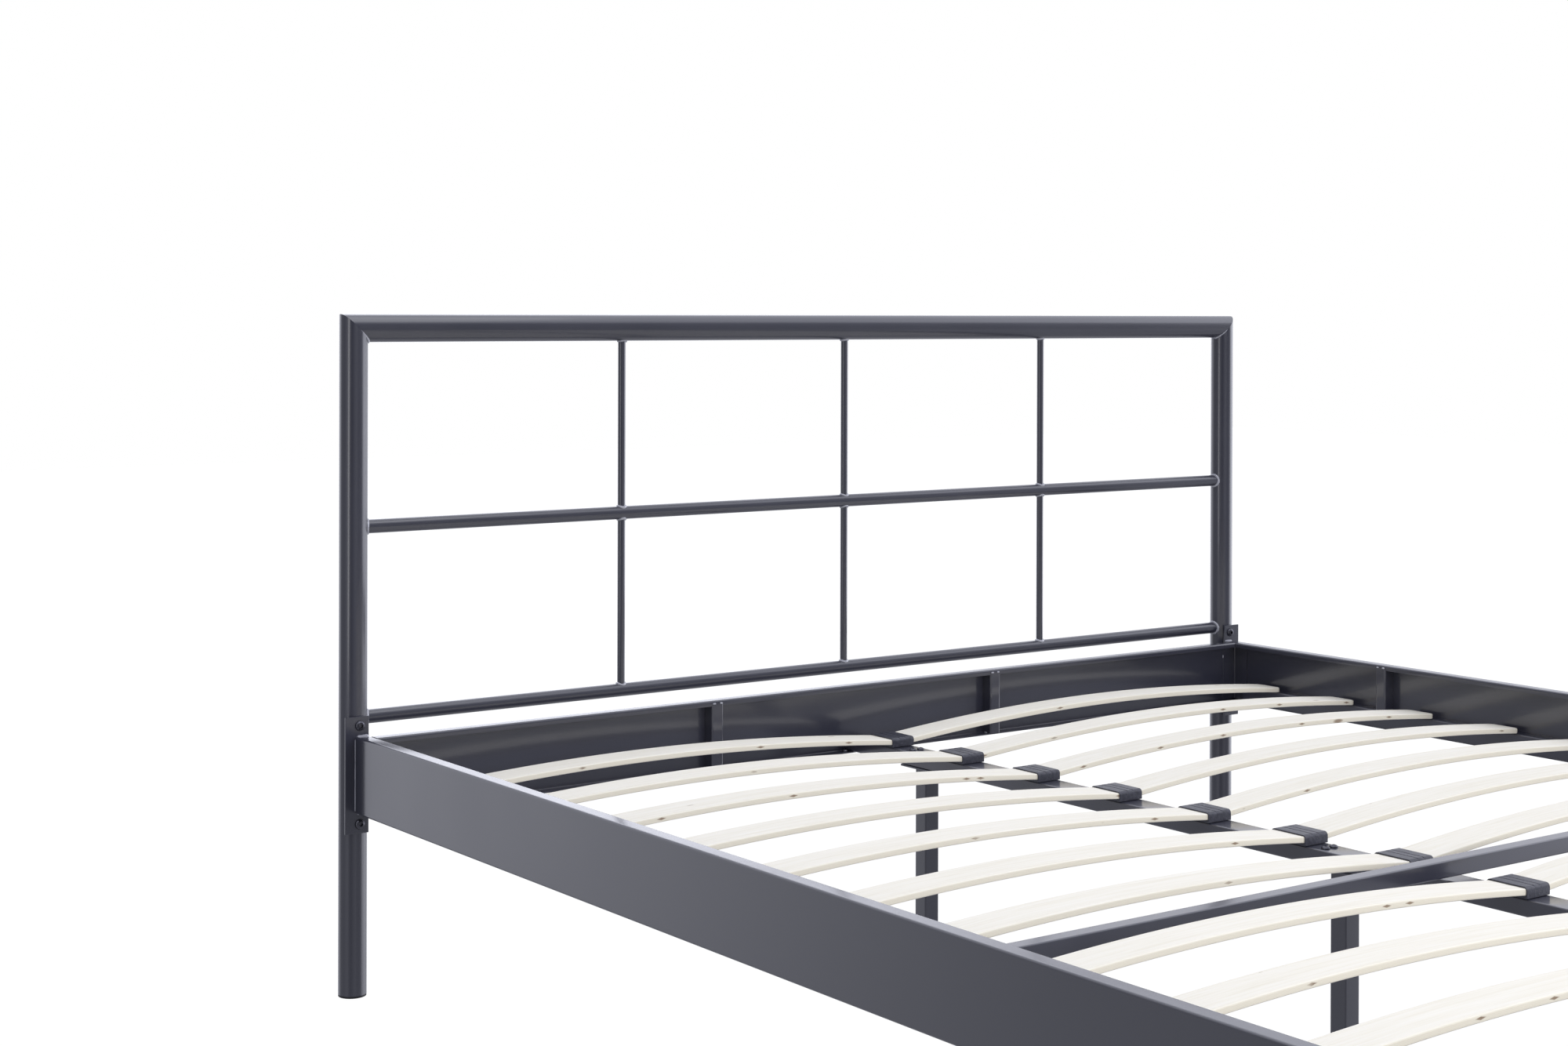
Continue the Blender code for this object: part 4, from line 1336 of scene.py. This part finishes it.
def studio_floor():
    finish, tree, shader, place = new_finish("pale_floor")
    mottle = add_node(tree, "TexNoise", inputs={"Scale": 1.2, "Detail": 2.0, "Vector": place})
    tint = add_node(tree, "ValToRGB", inputs={"Fac": mottle.outputs["Fac"]})
    set_ramp(tint, [(0.3, "#FDFDFD"), (0.6, "#FFFFFF")])
    tree.links.new(tint.outputs["Color"], shader.inputs["Emission Color"])
    shader.inputs["Base Color"].default_value = linear("#000000")
    shader.inputs["Emission Strength"].default_value = 1.0
    shader.inputs["Roughness"].default_value = 1.0
    return finish


bm = bmesh.new()
bmesh.ops.create_grid(bm, x_segments=1, y_segments=1, size=FLOOR_HALF)
floor_mesh = bpy.data.meshes.new("floor")
bm.to_mesh(floor_mesh)
bm.free()
floor_mesh.materials.append(studio_floor())
floor = bpy.data.objects.new("floor", floor_mesh)
bpy.context.scene.collection.objects.link(floor)
for ray in ("diffuse", "glossy", "transmission", "shadow"):
    setattr(floor, "visible_" + ray, False)
print("floor half size in metres:", FLOOR_HALF)

# %% [markdown]
# ## The room's light
#
# A satin coat shows what stands round it, so the room is drawn as a ring of brightness by compass
# direction: a bright wall ahead, a brighter window at the right, and darkness behind the camera, which
# keeps the fronts of the posts dark. The ceiling is bright and the ground is darker. The camera itself
# sees plain white.

# %% Make the room
CEILING_NEAR = 1.15  # over the foot end
CEILING_FAR = 1.0
# How high a direction points, from -1 for down to 1 for up, where one part of the room fades into the next
GROUND_FADE = {"From Min": -0.42, "From Max": -0.12}
CEILING_FADE = {"From Min": 0.5, "From Max": 0.78}
CEILING_SPAN = {"From Min": -0.5, "From Max": 0.4}  # how far towards the head a direction points
GROUND = 0.42
RING = 2.0  # brightness that a share of 1 stands for on the ring
ring_by_compass = [  # degrees clockwise from +Y, share of RING
    (-180, 0.22),
    (-162, 0.16),
    (-143, 0.06),
    (-124, 0.14),
    (-112, 0.26),
    (-86, 0.16),
    (-48, 0.15),
    (-26, 0.50),
    (-8, 0.45),
    (10, 0.75),
    (25, 0.88),
    (42, 0.50),
    (62, 0.42),
    (80, 0.80),
    (100, 1.0),
    (122, 0.90),
    (138, 0.12),
    (160, 0.12),
    (180, 0.22),
]

world = bpy.data.worlds.new("white_room")
world.use_nodes = True
bpy.context.scene.world = world
tree = world.node_tree
direction = add_node(tree, "TexCoord")
parts = add_node(tree, "SeparateXYZ", inputs={0: direction.outputs["Generated"]})
compass = add_node(tree, "Math", {"operation": "ARCTAN2"}, {0: parts.outputs["X"], 1: parts.outputs["Y"]})
turn_share = add_node(
    tree, "MapRange", inputs={"From Min": -math.pi, "From Max": math.pi, "Value": compass.outputs[0]}
)
ring = add_node(tree, "FloatCurve", inputs={"Value": turn_share.outputs["Result"]})
curve = ring.mapping.curves[0]
while len(curve.points) < len(ring_by_compass):
    curve.points.new(0.5, 0.5)
for point, (degrees, share) in zip(curve.points, ring_by_compass):
    point.location = ((degrees + 180) / 360, share)
    point.handle_type = "AUTO_CLAMPED"
ring.mapping.update()
walls = add_node(tree, "Math", {"operation": "MULTIPLY"}, {0: ring.outputs["Value"], 1: RING})
above_ground = add_node(tree, "MapRange", inputs={**GROUND_FADE, "Value": parts.outputs["Z"]})
up_to_ceiling = add_node(tree, "MapRange", inputs={**CEILING_FADE, "Value": parts.outputs["Z"]})
with_ground = add_node(
    tree, "Mix", inputs={0: above_ground.outputs["Result"], 2: GROUND, 3: walls.outputs[0]}
)
ceiling = add_node(
    tree,
    "MapRange",
    inputs={**CEILING_SPAN, "To Min": CEILING_NEAR, "To Max": CEILING_FAR, "Value": parts.outputs["Y"]},
)
with_ceiling = add_node(
    tree,
    "Mix",
    inputs={0: up_to_ceiling.outputs["Result"], 2: with_ground.outputs[0], 3: ceiling.outputs["Result"]},
)
path = add_node(tree, "LightPath")
seen_white = add_node(tree, "Background", inputs={"Color": linear("#FFFFFF"), "Strength": 1.0})
room = tree.nodes["Background"]
room.inputs["Color"].default_value = linear("#F0F2FD")
tree.links.new(with_ceiling.outputs[0], room.inputs["Strength"])
both = add_node(
    tree,
    "MixShader",
    inputs={0: path.outputs["Is Camera Ray"], 1: room.outputs[0], 2: seen_white.outputs[0]},
)
tree.links.new(both.outputs[0], tree.nodes["World Output"].inputs["Surface"])
print("ring stops:", len(ring_by_compass))

# %% [markdown]
# ## Soft boxes
#
# Three soft boxes add the light that has a direction: a large one overhead, a narrow upright one at the
# left and a broad one beyond the foot end. The last one only fills the shadows at the front. It is left
# out of reflections, because it would draw a stripe on every glossy tube.

# %% Place the soft boxes
def soft_box_light(name, place, aim, width, height, strength, mirrored=True):
    light = bpy.data.lights.new(name, "AREA")
    light.shape = "RECTANGLE"
    light.size = width
    light.size_y = height
    light.energy = strength * math.pi * width * height
    lamp = bpy.data.objects.new(name, light)
    bpy.context.scene.collection.objects.link(lamp)
    lamp.location = place
    lamp.visible_glossy = mirrored
    lamp.rotation_euler = (Vector(aim) - Vector(place)).to_track_quat("-Z", "Y").to_euler()


soft_box_light("high_box", (-0.3, 0.3, 3.2), (0, 0.3, 0.3), 2.4, 2.4, 0.6)
soft_box_light("left_box", (-2.8, 0.0, 0.9), (-0.8, 1.0, 0.6), 0.5, 1.6, 1.5)
soft_box_light("front_box", (0.6, -3.6, 1.4), (0.0, 0.4, 0.3), 2.4, 1.6, 6.0, mirrored=False)
bpy.context.scene.view_settings.view_transform = "Standard"

# %% [markdown]
# ## Count the pieces
#
# The last cell prints how many pieces were made.

# %% Count the pieces
print("pieces:", len(made_pieces))
